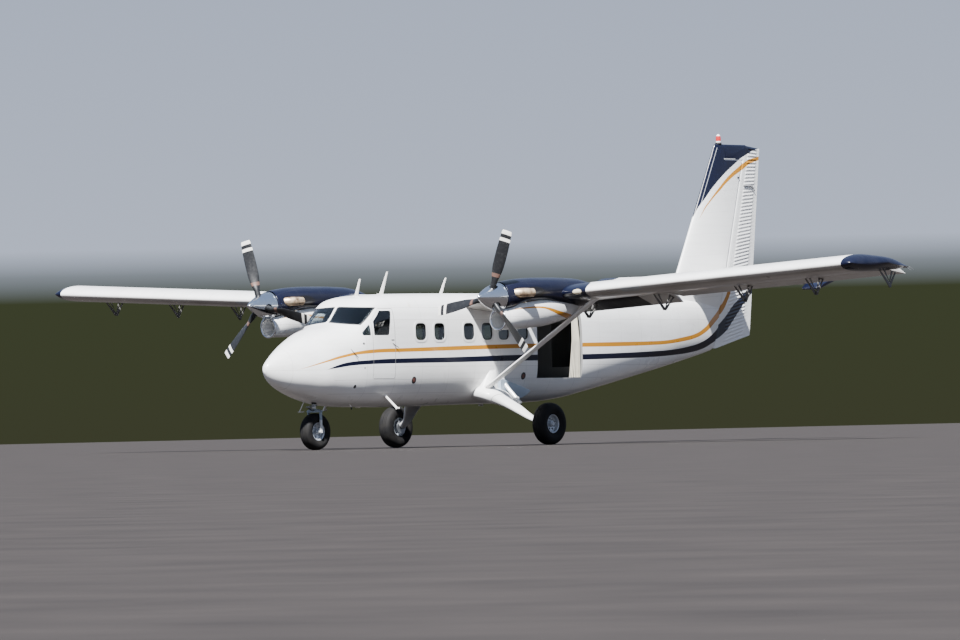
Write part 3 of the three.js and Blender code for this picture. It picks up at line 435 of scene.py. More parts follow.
def skin_paint(name, pitch=0.762, rows=(1.03, 1.28, 1.52, 2.40, 2.632), stripes=True):
    """White sheet with its gold and navy bands."""
    finish = Finish(name, WHITE, 0.3, coat_weight=0.35, coat_roughness=0.08, specular_ior_level=0.3)
    laps = seam_lines(finish, pitch, rows)
    colour = weathered(finish, WHITE)
    colour = finish.blend(laps * 0.45, colour, (0.30, 0.29, 0.28))
    if stripes:
        colour = finish.blend(stripe(finish, gold_upper, gold_lower), colour, GOLD)
        navy = stripe(finish, navy_upper, navy_lower)
        colour = finish.blend(navy, colour, NAVY)
        finish.set("Coat Weight", navy * -0.3 + 0.35)
    finish.set("Base Color", colour)
    finish.set("Roughness", finish.noise(3.0, 4) * 0.22 + 0.2)
    finish.raised(finish.noise(1.6, 2, 0.5, (1, 1, 1.6)), 0.004)
    return finish.close(0.6)


nose_paint = skin_paint("nose_paint", 1.6, (1.48,))
nose_skin = body_form("nose_skin", hull_table, 0.0, COCKPIT_FRONT - SEAM, 0.02)
fitted(nose_skin, "airframe", nose_paint, "white_skin", ["nose_cone"])


# Cockpit shell
# Painted sheet over frames between the nose and the cabin: a closed belly under the floor, and above it a
# hollow shell with openings for the windshield, the quarter windows and the crew doors.
FLOOR, WALL, FAR = 1.28, 0.055, 12.0
crew_door_outline = [(2.112, 1.300), (2.710, 1.300), (2.710, 2.615), (2.345, 2.615), (2.112, 2.380)]
crew_window_outline = [(2.150, 2.112), (2.545, 2.112), (2.660, 2.575), (2.365, 2.575), (2.162, 2.372)]
quarter_window_outline = [(1.905, 2.112), (2.078, 2.112), (2.078, 2.330), (1.895, 2.165)]
windshield_front = [(0.026, 2.372), (0.735, 2.300), (0.735, 2.640), (0.026, 2.668)]
windshield_side = [(1.500, 2.250), (1.865, 2.250), (2.335, 2.645), (2.335, 2.720), (1.500, 2.720)]
SIDE_GLASS_FROM, DOOR_FROM, DOOR_WALL, DOOR_GAP = 0.738, 0.560, 0.030, 0.008


def side_bar(name, outline, x0, x1):
    """A bar along X whose section is an outline of stations and heights."""
    return loft(name, [[(x, at(s), z) for s, z in outline] for x in (x0, x1)])


def front_bar(name, outline, first, last):
    """A bar along Y whose section is an outline of x and heights."""
    return loft(name, [[(x, at(s), z) for x, z in outline] for s in (first, last)])


def block(name, x0, x1, first, last, z0, z1):
    return side_bar(name, [(first, z0), (last, z0), (last, z1), (first, z1)], x0, x1)


def grown(outline, out):
    """An outline drawn counterclockwise, grown evenly, or shrunk where out is negative."""
    points = np.array(outline, float)
    side = np.roll(points, -1, 0) - points
    normal = np.stack([side[:, 1], -side[:, 0]], 1) / np.linalg.norm(side, axis=1)[:, None]
    before = np.roll(normal, 1, 0)
    return points + out * (before + normal) / (1 + (before * normal).sum(1))[:, None]


def rounded(outline, radius, steps=6):
    """An outline with its corners rounded."""
    points, made = np.array(outline, float), []
    for k, here in enumerate(points):
        before, after = points[k - 1] - here, points[(k + 1) % len(points)] - here
        a, b = before / np.linalg.norm(before), after / np.linalg.norm(after)
        half = math.acos(np.clip(a @ b, -1, 1)) / 2
        reach = min(radius / math.tan(half), 0.48 * np.linalg.norm(before), 0.48 * np.linalg.norm(after))
        for t in np.linspace(0, 1, steps + 1):
            made.append((1 - t) ** 2 * (here + a * reach) + 2 * t * (1 - t) * here
                        + t * t * (here + b * reach))
    return np.array(made)


def both_sides(name, outline, x0=0.1):
    """Bars through the port and the starboard side."""
    return joined(name, side_bar("bar", outline, x0, FAR), side_bar("bar", outline, -FAR, -x0))


def windshield_bar(side, out):
    front = rounded(grown(windshield_front, out), 0.035) * (side, 1)
    bar = front_bar("bar", front, 1.5, 2.4)
    return cut(bar, side_bar("limit", grown(windshield_side, out), -FAR, FAR), how="INTERSECT")


def windshield_bars(out):
    return joined("bars", windshield_bar(1, out), windshield_bar(-1, out))


def skin_layer(name, first, last, low, high=0.0, step=0.03):
    """A layer of the fuselage's skin, from a depth below it to a height above it."""
    return cut(body_form(name, hull_table, first, last, step, -high),
               body_form("core", hull_table, first - 0.02, last + 0.02, step, low))


def inlay(name, bars, first, last, low, high=0.0, step=0.03):
    """What a layer of the fuselage's skin shares with bars through it."""
    return cut(skin_layer(name, first, last, low, high, step), bars, how="INTERSECT")


hull_grid = np.linspace(hull_table[0, 0], hull_table[-1, 0], 900)
hull_sizes = np.array([section_of(hull_table, station) for station in hull_grid])


def share_of_skin(points):
    """How far points lie from the fuselage's axis, as a share of the way to its skin."""
    half, bottom, top, widest, square_top, square_low = (
        np.interp(station_of(points[:, 1]), hull_grid, column) for column in hull_sizes.T)
    rise = points[:, 2] - widest
    height = np.where(rise > 0, top - widest, widest - bottom)
    power = np.where(rise > 0, square_top, square_low)
    return (np.abs(points[:, 0] / half) ** power + np.abs(rise / height) ** power) ** (1 / power)


def lined(piece, lining, edge=0.975):
    """Gives the faces inside the skin the finish of the lining."""
    piece.data.materials.append(lining.material)
    centres = np.array([polygon.center for polygon in piece.data.polygons])
    piece.data.polygons.foreach_set("material_index", (share_of_skin(centres) < edge).astype(np.int32))
    return piece


def plain_finish(name, colour, roughness, grain=30.0, depth=0.0004, spread=0.25, **uniform):
    """A finish with soft cloudy wear and a fine grain."""
    finish = Finish(name, colour, roughness, **uniform)
    wear = finish.noise(grain * 0.12, 4).over(0.5, 0.5)
    finish.paint(wear * spread, colour, tuple(0.45 * c + 0.02 for c in colour))
    finish.set("Roughness", finish.noise(grain * 0.3, 3) * 0.3 + (roughness - 0.15))
    finish.raised(finish.noise(grain, 3), depth)
    return finish.close(0.5)


hull_paint = skin_paint("hull_paint")
lining_finish = plain_finish("cabin_lining", (0.20, 0.20, 0.195), 0.7)
room = cut(body_form("room", hull_table, COCKPIT_FRONT - 0.004, BULKHEAD + 0.004, 0.05, WALL),
           block("under_floor", -2, 2, 1, 9, 0, FLOOR))
room_twin = mirrored(room, "cabin_room")
cockpit_shell = body_form("cockpit_shell", hull_table, COCKPIT_FRONT, CABIN_FRONT - SEAM, 0.025)
cut(cockpit_shell, room, windshield_bars(0.0),
    both_sides("doors", rounded(crew_door_outline, 0.04), DOOR_FROM),
    both_sides("quarters", rounded(quarter_window_outline, 0.02), SIDE_GLASS_FROM))
fitted(cockpit_shell, "airframe", hull_paint, "white_skin", ["cockpit_belly", "cockpit_upper"])
lined(cockpit_shell, lining_finish)

# Windshield, quarter windows and crew doors
# Panes of stretched acrylic in sheet frames, and a hinged sheet door on each side with its own window. Each
# pane sits just below the skin, on a black sealing strip.
glass_finish = Finish("clear_acrylic", (0.62, 0.68, 0.70), 0.03, transmission_weight=1.0, ior=1.45)
glass_finish.set("Roughness", glass_finish.noise(6, 3) * 0.03 + 0.015)
glass_finish.close()
seal_finish = plain_finish("black_seal", (0.018, 0.018, 0.02), 0.6)
pane_rules = {"windshield": (windshield_bars(-0.002), ["windshield_left", "windshield_right"]),
              "quarter_windows": (both_sides("bars", rounded(grown(quarter_window_outline, -0.002), 0.018),
                                             SIDE_GLASS_FROM + 0.002),
                                  ["quarter_window_left", "quarter_window_right"])}
for name, (bars, nodes) in pane_rules.items():
    fitted(inlay(name, bars, 1.3, 2.5, 0.014, -0.006), "airframe", glass_finish, "glazing", nodes)
windshield_seal = inlay("windshield_seal", cut(windshield_bars(-0.0005), windshield_bars(-0.014)),
                        1.3, 2.5, 0.020, -0.003)
fitted(windshield_seal, "airframe", seal_finish, "glazing")

window_prism = rounded(crew_window_outline, 0.035)
door_prism = rounded(grown(crew_door_outline, -DOOR_GAP), 0.035)
doors = inlay("crew_doors", both_sides("bars", door_prism, DOOR_FROM), 2.0, 2.8, DOOR_WALL, 0.0, 0.02)
cut(doors, both_sides("windows", window_prism), windshield_bars(0.006))
door_panes = inlay("crew_door_panes", both_sides("bars", grown(window_prism, -0.002)),
                   2.0, 2.8, 0.014, -0.006, 0.02)
door_seals = inlay("crew_door_seals", cut(both_sides("bars", grown(window_prism, -0.0005)),
                                          both_sides("holes", grown(window_prism, -0.011))),
                   2.0, 2.8, 0.019, -0.003, 0.02)


def halves(piece, name):
    """The port and starboard halves of a piece, which it becomes."""
    starboard = placed(name, piece.data.copy())
    for half, side, ending in ((piece, 1, "left"), (starboard, -1, "right")):
        with edited(half.data) as work:
            bmesh.ops.delete(work, geom=[v for v in work.verts if v.co.x * side < 0], context="VERTS")
        half.name = f"{name}_{ending}"
        yield half, ending


for door, ending in halves(doors, "crew_door_skin"):
    fitted(door, f"crew_door_{ending}", hull_paint, "white_skin", [f"crew_door_{ending}"])
    lined(door, lining_finish)
for pane, ending in halves(door_panes, "crew_door_pane"):
    fitted(pane, f"crew_door_{ending}", glass_finish, "glazing", [f"crew_door_window_{ending}"])
for seal, ending in halves(door_seals, "crew_door_seal"):
    fitted(seal, f"crew_door_{ending}", seal_finish, "glazing")

# Cabin shell and its windows
# Belly, sides and roof of riveted sheet with a flat floor at the top of the belly. A row of small windows
# runs along each side, each in a pressed ring, and the port side is open where its wide door is taken off.
window_stations = [3.445, 3.985, 4.845, 5.375, 5.865, 6.435]
STARBOARD_EXTRA = 7.450
WINDOW_LOW, WINDOW_HIGH, WINDOW_WIDTH, WINDOW_CORNER = 2.010, 2.345, 0.325, 0.095
DOORWAY_FRONT, DOORWAY_REAR, ROOF_SEAM = 6.870, 8.245, 2.632


def window_outline(station):
    half = WINDOW_WIDTH / 2
    corners = [(station - half, WINDOW_LOW), (station + half, WINDOW_LOW),
               (station + half, WINDOW_HIGH), (station - half, WINDOW_HIGH)]
    return rounded(corners, WINDOW_CORNER * 1.25, 8)


def window_bars(out):
    places = [(s, 0.1, FAR) for s in window_stations]
    places += [(s, -FAR, -0.1) for s in [*window_stations, STARBOARD_EXTRA]]
    return joined("bars", *[side_bar("bar", grown(window_outline(s), out), x0, x1) for s, x0, x1 in places])


cabin_shell = body_form("cabin_shell", hull_table, CABIN_FRONT, BULKHEAD - SEAM, 0.05)
doorway = block("doorway", 0.3, 2, DOORWAY_FRONT, DOORWAY_REAR, FLOOR, ROOF_SEAM)
cut(cabin_shell, room_twin, window_bars(0.0), doorway)
fitted(cabin_shell, "airframe", hull_paint, "white_skin",
       ["cabin_belly", "cabin_side_left_front", "cabin_side_left_rear", "cabin_side_right", "cabin_roof"])
lined(cabin_shell, lining_finish)

ring_finish = plain_finish("window_ring", (0.78, 0.78, 0.77), 0.35, coat_weight=0.3)
for name, bars, low, high, finish, slot in (
        ("window_rings", cut(window_bars(0.034), window_bars(-0.006)),
         0.003, 0.005, ring_finish, "white_skin"),
        ("window_seals", cut(window_bars(-0.0005), window_bars(-0.016)),
         0.030, -0.004, seal_finish, "glazing"),
        ("cabin_panes", window_bars(-0.001), 0.020, -0.014, glass_finish, "glazing")):
    fitted(inlay(name, bars, 3.2, 7.7, low, high, 0.1), "airframe", finish, slot)

# Tail cone
# Riveted sheet that narrows from the rear bulkhead to the rudder post, where it is cut off along the
# rudder's leading edge.
FIN_BASE, FIN_TOP = 2.650, 5.920


def fin_hinge(z):
    return 13.648 + 0.291 * (z - FIN_BASE)


def rudder_radius(z):
    return 0.092 + (0.050 - 0.092) * (z - 1.835) / (FIN_TOP - 1.835)


def rudder_front(z):
    return fin_hinge(z) - rudder_radius(z) - 0.016


tail_cone = body_form("tail_skin", hull_table, BULKHEAD, TAIL_END, 0.06)
CUT_LOW, CUT_HIGH, BEHIND_ALL = 1.635, 2.950, 15.5
cut(tail_cone, body_form("hollow", hull_table, BULKHEAD - 0.02, TAIL_END - 0.52, 0.1, 0.016),
    side_bar("behind", [(rudder_front(CUT_LOW), CUT_LOW), (BEHIND_ALL, CUT_LOW),
                        (BEHIND_ALL, CUT_HIGH), (rudder_front(CUT_HIGH), CUT_HIGH)], -2, 2))
fitted(tail_cone, "airframe", hull_paint, "white_skin", ["tail_cone"])
lined(tail_cone, lining_finish, 0.992)

# Crew seats, instrument panel and rear bulkhead
# Two padded seats on sheet pedestals, a black panel across the cockpit with round dials, and a sheet bulkhead
# with an open hatch at the back of the cabin.


def around(count):
    """Evenly spaced angles of a whole turn."""
    return np.linspace(0, 2 * math.pi, count + 1)[:-1]


def cushion(name, centre, size, lean=0.0, fullness=0.5):
    """A crowned pad: fullest at its middle, pulled in between its corners."""
    rings = []
    for level in np.linspace(-1, 1, 11):
        pull = math.sqrt(max(0.0, 1 - abs(level) ** 4))
        ring = []
        for angle in around(28):
            c, s = math.cos(angle), math.sin(angle)
            square = 1 / max(abs(c), abs(s)) ** 0.72
            u, v = c * square, s * square
            crown = 1 + fullness * 0.25 * (1 - min(1, u ** 2)) * (1 - min(1, v ** 2))
            ring.append((u * size[0] / 2 * (0.90 + 0.1 * pull), v * size[1] / 2 * (0.90 + 0.1 * pull),
                         level * size[2] / 2 * crown))
        rings.append(ring)
    flat = [[(0.55 * x, 0.55 * y, z * (1 + 0.30 * fullness)) for x, y, z in rings[i]] for i in (0, -1)]
    piece = loft(name, [flat[0], *rings, flat[1]])
    piece.data.transform(Matrix.Translation(centre) @ Matrix.Rotation(lean, 4, "X"))
    return piece


seat_finish = plain_finish("seat_leather", (0.05, 0.05, 0.055), 0.55, 90.0, 0.0012)
frame_finish = plain_finish("seat_frame", (0.16, 0.16, 0.17), 0.5)
for side, ending in ((1, "left"), (-1, "right")):
    x = 0.45 * side
    pan = cushion(f"seat_pan_{ending}", (x, at(2.67), 1.62), (0.42, 0.45, 0.11))
    back = cushion(f"seat_back_{ending}", (x, at(2.91), 1.98), (0.40, 0.60, 0.11), math.radians(80))
    for pad in (pan, back):
        fitted(pad, "airframe", seat_finish, "seat", [f"crew_seat_{ending}"] if pad == pan else (), 50)
    pedestal = joined(f"seat_pedestal_{ending}",
                      block("post", x - 0.16, x + 0.16, 2.50, 2.86, FLOOR + SEAM, 1.565),
                      block("back_frame", x - 0.14, x + 0.14, 2.93, 2.96, 1.60, 2.15))
    fitted(pedestal, "airframe", frame_finish, "seat")

panel_form = body_form("instrument_panel_skin", hull_table, 1.72, 1.86, 0.07, WALL + 0.012)
cut(panel_form, block("keep", -1, 1, 1.6, 2.0, 1.72, 2.29), how="INTERSECT")
PANEL_BLACK, DIAL_RADIUS = (0.03, 0.03, 0.033), 0.042
panel_finish = Finish("instrument_panel_finish", PANEL_BLACK, 0.6)
px, py, pz = panel_finish.place()
dial = (px.every(0.13, 0.065) ** 2 + pz.every(0.13, 1.78) ** 2) ** 0.5
face = dial.under(DIAL_RADIUS, 0.003) * py.over(at(1.855), 0.002)
marks = dial.near(0.034, 0.003) * face
panel_finish.paint(marks, PANEL_BLACK, (0.7, 0.7, 0.66))
panel_finish.set("Roughness", 0.65 - face * 0.5)
panel_finish.raised(dial.near(0.044, 0.003), 0.003)
panel_finish.close()
fitted(panel_form, "airframe", panel_finish, "panel", ["instrument_panel"])
bulkhead = cut(body_form("rear_bulkhead_plate", hull_table, 8.710, 8.740, 0.03, WALL + SEAM),
               block("floor", -1, 1, 8.6, 8.9, 0.5, FLOOR + SEAM),
               block("hatch", -0.3, 0.3, 8.6, 8.9, 1.5, 2.35))
fitted(bulkhead, "airframe", lining_finish, "lining", ["rear_bulkhead"])

# Doorway curtain
# Heavy cream cloth, gathered at the rear of the doorway and hung from a rail under the roof. Its folds open
# towards the floor, and its front edge falls at a slant.
CURTAIN_TOP, CURTAIN_LOW, FOLDS = ROOF_SEAM - 0.022, FLOOR + 0.008, 7


def curtain_row(z):
    share = (z - CURTAIN_LOW) / (CURTAIN_TOP - CURTAIN_LOW)
    front, rear = 7.905 + 0.200 * share ** 0.9, DOORWAY_REAR - 0.016
    lean = 0.800 - (0.12 * (z - 2.0) if z > 2.0 else 0)
    row = []
    for t in np.linspace(0, 1, 121):
        drift = 0.35 * math.sin(5.1 * t + 0.7) + 0.10 * math.sin(3 * share + 9 * t)
        phase = 2 * math.pi * (FOLDS * t + drift)
        depth = 0.019 * (0.75 + 0.25 * math.sin(7 * t + 2 * share))
        along = at(front + (rear - front) * t) + 0.004 * math.sin(2 * phase)
        row.append((lean + depth * math.sin(phase), along, z))
    return row


curtain_rows = [curtain_row(z) for z in np.linspace(CURTAIN_LOW, CURTAIN_TOP, 46)]
width = len(curtain_rows[0])
curtain = made_of("curtain_cloth", [p for row in curtain_rows for p in row],
                  [(r * width + k, r * width + k + 1, (r + 1) * width + k + 1, (r + 1) * width + k)
                   for r in range(len(curtain_rows) - 1) for k in range(width - 1)])
thick = curtain.modifiers.new("thickness", "SOLIDIFY")
thick.thickness, thick.offset = 0.002, 0
curtain_finish = Finish("curtain_cloth_finish", (0.62, 0.58, 0.48), 0.9, sheen_weight=0.3)
_, cy, cz = curtain_finish.place()
weave = cz.every(0.0024) + cy.every(0.0024)
stain = curtain_finish.noise(3.0, 5).over(0.55, 0.4) * 0.35 + cz.under(1.42, 0.05) * 0.15
curtain_finish.paint(stain, (0.44, 0.41, 0.33), (0.22, 0.20, 0.155))
curtain_finish.raised(weave * 400, 0.0006)
curtain_finish.close(0.6)
curtain_lengths = [sum(math.dist(a, b) for a, b in zip(row, row[1:])) for row in curtain_rows]
fitted(curtain, "airframe", curtain_finish, "curtain", ["doorway_curtain"], 60)
curtain_rail = joined("curtain_rail", block("rail", 0.715, 0.735, DOORWAY_FRONT, DOORWAY_REAR - 0.01,
                                            CURTAIN_TOP, ROOF_SEAM - 0.001),
                      block("hem_bar", 0.785, 0.815, 7.91, DOORWAY_REAR - 0.016,
                            CURTAIN_LOW - 0.006, CURTAIN_LOW))
fitted(curtain_rail, "airframe", frame_finish, "lining")

# Wings
# Each wing is one straight panel of riveted sheet with a straight rear face, and the roof carries its root.
# Sheet brackets hang below it behind the rear face and carry the flaps and ailerons.
WING_LEAD, CHORD, WING_ROOT_Z = 4.810, 1.980, 2.672
DIHEDRAL, INCIDENCE = math.radians(3), math.radians(2)
CAMBER, THICKNESS, WING_REAR, WING_HINGE = 0.02, 0.16, 0.704, 0.765
WING_ROOT, TIP_JOINT, HALF_SPAN = 0.300, 9.700, 9.906
ENGINE_X, ENGINE_Z = 2.856, 2.764


def hull_tool(first, last):
    """The fuselage's own form, a seam larger, to cut what meets it."""
    return body_form("hull", hull_table, first, last, 0.1, -SEAM)


def aerofoil_height(share, camber, thickness, side):
    half = 5 * thickness * (0.2969 * math.sqrt(share) - 0.126 * share - 0.3516 * share ** 2
                            + 0.2843 * share ** 3 - 0.1036 * share ** 4)
    peak = 0.4
    if share < peak:
        mean = camber / peak ** 2 * (2 * peak * share - share ** 2)
    else:
        mean = camber / (1 - peak) ** 2 * (1 - 2 * peak + 2 * peak * share - share ** 2)
    return mean + side * half


def aerofoil_ring(camber, thickness, rear, steps=28):
    """Points round an aerofoil that is cut off square at a share of its chord, from the upper rear corner."""
    shares = [rear * (1 - math.cos(math.pi / 2 * k / steps)) for k in range(steps + 1)]
    upper = [(x, aerofoil_height(x, camber, thickness, 1)) for x in reversed(shares)]
    return upper + [(x, aerofoil_height(x, camber, thickness, -1)) for x in shares[1:]]


def wing_point(x, u, v, scale=1.0):
    chord = CHORD * scale
    lead = WING_LEAD + CHORD * (1 - scale) * 0.15
    return (x, at(lead + chord * (u * math.cos(INCIDENCE) + v * math.sin(INCIDENCE))),
            WING_ROOT_Z + math.tan(DIHEDRAL) * x
            + chord * (v * math.cos(INCIDENCE) - u * math.sin(INCIDENCE)))


def wing_form(name, first, last, rear, out=0.0):
    outline = aerofoil_ring(CAMBER, THICKNESS + 2 * out / CHORD, rear)
    return loft(name, [[wing_point(x, u - out / CHORD, v) for u, v in outline]
                       for x in np.linspace(first, last, 12)])


def wing_hinge(x):
    return wing_point(x, WING_HINGE, aerofoil_height(WING_HINGE, CAMBER, 0, 0))


def sheet_finish(name):
    """Gloss white sheet, to be given its colour, laps and rivets."""
    return Finish(name, WHITE, 0.3, coat_weight=0.3, coat_roughness=0.1)


def pressed(finish, laps, rivets):
    """Adds laps that are pressed in and rivets that stand proud."""
    finish.raised(laps, -0.001)
    finish.raised(rivets.under(0.0033, 0.003), 0.0008)


def coloured(finish, colour, waves=1.4):
    """Gives sheet its colour, an uneven gloss and faint waves."""
    finish.set("Base Color", colour)
    finish.set("Roughness", finish.noise(2.5, 4) * 0.25 + 0.2)
    finish.raised(finish.noise(waves, 2), 0.003)
    return finish.close(0.6)


def wing_paint(name):
    """White sheet with its laps and rivets, navy where the nacelle meets it, and brown painted shade below.
    """
    finish = sheet_finish(name)
    x, y, z = finish.place()
    out, station = abs(x), station_of(y)
    depth = station - WING_LEAD
    chord_line = out * math.tan(DIHEDRAL) + WING_ROOT_Z - depth * math.tan(INCIDENCE)
    below = (z - chord_line).under(-0.012, 0.02)
    ribs = out.every(0.610, 0.21)
    spars = abs(depth - 0.33).least(abs(depth - 0.86)).least(abs(depth - 1.30))
    laps = ribs.least(spars).under(0.0025, 0.004)
    pressed(finish, laps, rivets_beside(ribs, depth).least(rivets_beside(spars, out)))
    # Brown painted shade, uneven in clouds, on the faces that look down: it stands for the shade and ground
    # light under the wing.
    underside_shade = finish.noise(1.2, 5, 0.6, (1, 0.35, 1)) * 0.5 + 0.45
    colour = finish.blend(below * underside_shade, weathered(finish, WHITE), (0.20, 0.165, 0.135))
    soot = (out - ENGINE_X).near(0, 0.35, 0.5) * depth.over(0.15, 0.5) * below
    colour = finish.blend(soot * 0.55, colour, (0.035, 0.032, 0.03))
    colour = finish.blend(laps * 0.5, colour, (0.28, 0.27, 0.26))
    patch = out.between(4.57, 5.03, 0.006) * depth.under(0.12, 0.006) * below
    colour = finish.blend(patch * 0.8, colour, (0.34, 0.36, 0.37))
    beside = ((abs(out - ENGINE_X) / 0.90) ** 2.6 + (depth / 0.55) ** 2).under(1.0, 0.02)
    colour = finish.blend(beside, colour, NAVY)
    lamp = (((out - 3.550) / 0.105) ** 2 + ((z - 2.850) / 0.050) ** 2).under(1.0, 0.1) * depth.under(0.08)
    return coloured(finish, finish.blend(lamp, colour, (0.62, 0.55, 0.40)))


white_wing = wing_paint("wing_paint")
hinge_places = [1.250, 2.560, 4.390, 6.300, 7.950, 9.655]
DROP_AFT, DROP_BELOW = 0.046, 0.385


def drop_pin(x):
    """Where a flap or an aileron turns, below the wing."""
    return Vector(wing_hinge(x)) + Vector((0, DROP_AFT, -DROP_BELOW))


def hinge_bracket(x):
    """An open sheet hanger under the rear of the wing, with a boss at its foot and bolts along its top."""
    pin = drop_pin(x)
    station = station_of(pin.y)
    hinge, top, foot = station - DROP_AFT, pin.z + DROP_BELOW - 0.040, pin.z - 0.010
    front, rear = hinge - 0.330, hinge - 0.135
    outline = [(front, top), (station - 0.032, foot), (station + 0.032, foot), (rear, top)]
    plate = side_bar("plate", rounded(outline, 0.02, 3), x - 0.007, x + 0.007)
    inner = [(front + 0.050, top - 0.026), (station - 0.012, foot + 0.070), (station + 0.004, foot + 0.070),
             (rear - 0.034, top - 0.026)]
    cut(plate, side_bar("hole", rounded(inner, 0.012, 3), x - 0.05, x + 0.05))
    lip = block("lip", x - 0.024, x + 0.024, front + 0.008, rear - 0.008, top - 0.012, top - 0.001)
    boss = tube("boss", (x - 0.012, station, pin.z + 0.014), (x + 0.0095, station, pin.z + 0.014), 0.023, 24)
    bolts = [tube("bolt", (x - 0.013, hinge + s, top - 0.030), (x + 0.013, hinge + s, top - 0.030), 0.008, 8)
             for s in (-0.300, -0.170)]
    return joined("bracket", plate, lip, boss, *bolts)


def tube(name, start, end, radius, sides=24, end_radius=None):
    """A round bar between two places given as x, station and height."""
    a, b = (Vector((p[0], at(p[1]), p[2])) for p in (start, end))
    along = (b - a).normalized()
    side = along.orthogonal().normalized()
    up = along.cross(side)
    rings = []
    for centre, r in ((a, radius), (b, radius if end_radius is None else end_radius)):
        rings.append([centre + (side * math.cos(t) + up * math.sin(t)) * r for t in around(sides)])
    return loft(name, rings)


def port_and_starboard(piece, name, finish, slot, body="airframe", nodes="", crease=32):
    """Fits a port piece and its starboard twin."""
    twin = mirrored(piece, f"{name}_right")
    piece.name = f"{name}_left"
    for made, ending in ((piece, "left"), (twin, "right")):
        fitted(made, body.format(ending), finish, slot, [nodes.format(ending)] if nodes else (), crease)
    return piece, twin


wing = cut(wing_form("wing", WING_ROOT, TIP_JOINT - SEAM, WING_REAR), hull_tool(4.3, 7.2))
port_and_starboard(wing, "wing_panel", white_wing, "white_skin", nodes="wing_{}")
hangers = joined("hangers", *[hinge_bracket(x) for x in hinge_places])
# The hangers and the flap and aileron arms are painted dark grey as painted shade for the wing's shadow over
# them, with a little wear on it.
shaded_hanger_finish = plain_finish("hanger_painted_shade", (0.13, 0.125, 0.12), 0.55, spread=0.5)
port_and_starboard(hangers, "flap_hangers", shaded_hanger_finish, "white_skin")

# Wing tips
# A moulded navy cap closes each wing, with two static wicks behind it.
# For each step outward: its place, its scale, its share of the full thickness, and its rise.
tip_steps = [(TIP_JOINT, 1.0, 1.0, 0), (9.740, 0.993, 0.98, 0.012), (9.780, 0.984, 0.94, 0.020),
             (9.820, 0.956, 0.83, 0.025), (9.860, 0.915, 0.66, 0.028), (9.885, 0.86, 0.46, 0.029),
             (9.899, 0.81, 0.30, 0.030), (HALF_SPAN, 0.76, 0.16, 0.030)]
tip_outline = aerofoil_ring(CAMBER, THICKNESS, 1.0, 30)[:-1]
tip = loft("wing_tip", [[wing_point(x, u, v * flat + rise * math.exp(-((u - 0.72) / 0.2) ** 2), scale)
                         for u, v in tip_outline] for x, scale, flat, rise in tip_steps])
navy_finish = Finish("navy_paint", NAVY, 0.25, coat_weight=0.3, coat_roughness=0.05, specular_ior_level=0.3)
dust = navy_finish.noise(6.0, 5).over(0.55, 0.4)
navy_finish.paint(dust * 0.10, NAVY, (0.06, 0.06, 0.08))
navy_finish.set("Roughness", navy_finish.noise(3.0, 4) * 0.2 + 0.18)
navy_finish.raised(navy_finish.noise(2.0, 2), 0.002)
navy_finish.close(0.5)
port_and_starboard(tip, "wing_tip_cap", navy_finish, "navy_skin", nodes="wing_tip_{}", crease=45)
wicks = []
for x, share in ((9.740, 0.99), (9.820, 0.985)):
    _, y, z = wing_point(x, share, 0.0)
    station = station_of(y)
    wicks.append(tube("wick", (x, station - 0.02, z + 0.004), (x, station + 0.140, z - 0.050),
                      0.0055, 10, 0.0025))
wick_finish = plain_finish("static_wick", (0.22, 0.22, 0.23), 0.5)
port_and_starboard(joined("wicks", *wicks), "wing_tip_wicks", wick_finish, "navy_skin")

# Flaps and ailerons
# Long sheet panels with a round nose that turn on arms about pins well below the wing. Parked, the flaps hang
# 24 degrees down and the ailerons 12, and the middle of each flap is black below.


def round_nose(radius):
    """Points round the front half of a circle, from its top."""
    return [(radius * math.cos(a), radius * math.sin(a)) for a in np.linspace(math.pi / 2, 1.5 * math.pi, 15)]


def teardrop(radius, length, trailing=0.005):
    rear = [(length * t, -radius + (radius - trailing / 2) * t) for t in (0.33, 0.66, 1.0)]
    return round_nose(radius) + rear + [(u, -v) for u, v in reversed(rear)]


def trailing_surface(name, first, last):
    radius = CHORD * aerofoil_height(WING_HINGE, 0, THICKNESS, 1)
    rings = []
    for x in np.linspace(first, last, 10):
        hinge, trail = Vector(wing_hinge(x)), Vector(wing_point(x, 1, 0))
        length, slope = (trail - hinge).length, math.atan2(trail.z - hinge.z, trail.y - hinge.y)
        rings.append([(x, hinge.y + u * math.cos(slope) - v * math.sin(slope),
                       hinge.z + u * math.sin(slope) + v * math.cos(slope))
                       for u, v in teardrop(radius, length)])
    return loft(name, rings)


def drooped(place, first, last, rest):
    """Turns a place or a piece down about the pins, to where it is parked."""
    pin = drop_pin((first + last) / 2)
    axis = Vector((-math.cos(DIHEDRAL), 0, -math.sin(DIHEDRAL)))
    turn = Matrix.Translation(pin) @ Matrix.Rotation(math.radians(rest), 4, axis) @ Matrix.Translation(-pin)
    if isinstance(place, Vector):
        return turn @ place
    place.data.transform(turn)
    return place


def hinge_arm(x):
    """A sheet arm from the underside of a surface down to its pin."""
    pin, (_, y, z) = drop_pin(x), wing_hinge(x)
    hinge, station = station_of(y), station_of(pin.y)
    outline = [(hinge + 0.050, z - 0.040), (station - 0.026, pin.z + 0.006), (station - 0.016, pin.z - 0.012),
               (station + 0.018, pin.z - 0.012), (station + 0.030, pin.z + 0.010), (hinge + 0.210, z - 0.030)]
    plate = side_bar("arm", rounded(outline, 0.012, 3), x - 0.006, x + 0.006)
    hole = [(hinge + 0.092, z - 0.085), (station + 0.002, pin.z + 0.095), (station + 0.016, pin.z + 0.095),
            (hinge + 0.160, z - 0.085)]
    cut(plate, side_bar("hole", rounded(hole, 0.012, 3), x - 0.05, x + 0.05))
    cap = tube("cap", (x - 0.0065, station, pin.z + 0.014), (x + 0.016, station, pin.z + 0.014), 0.018, 20)
    return joined("arm", plate, cap)


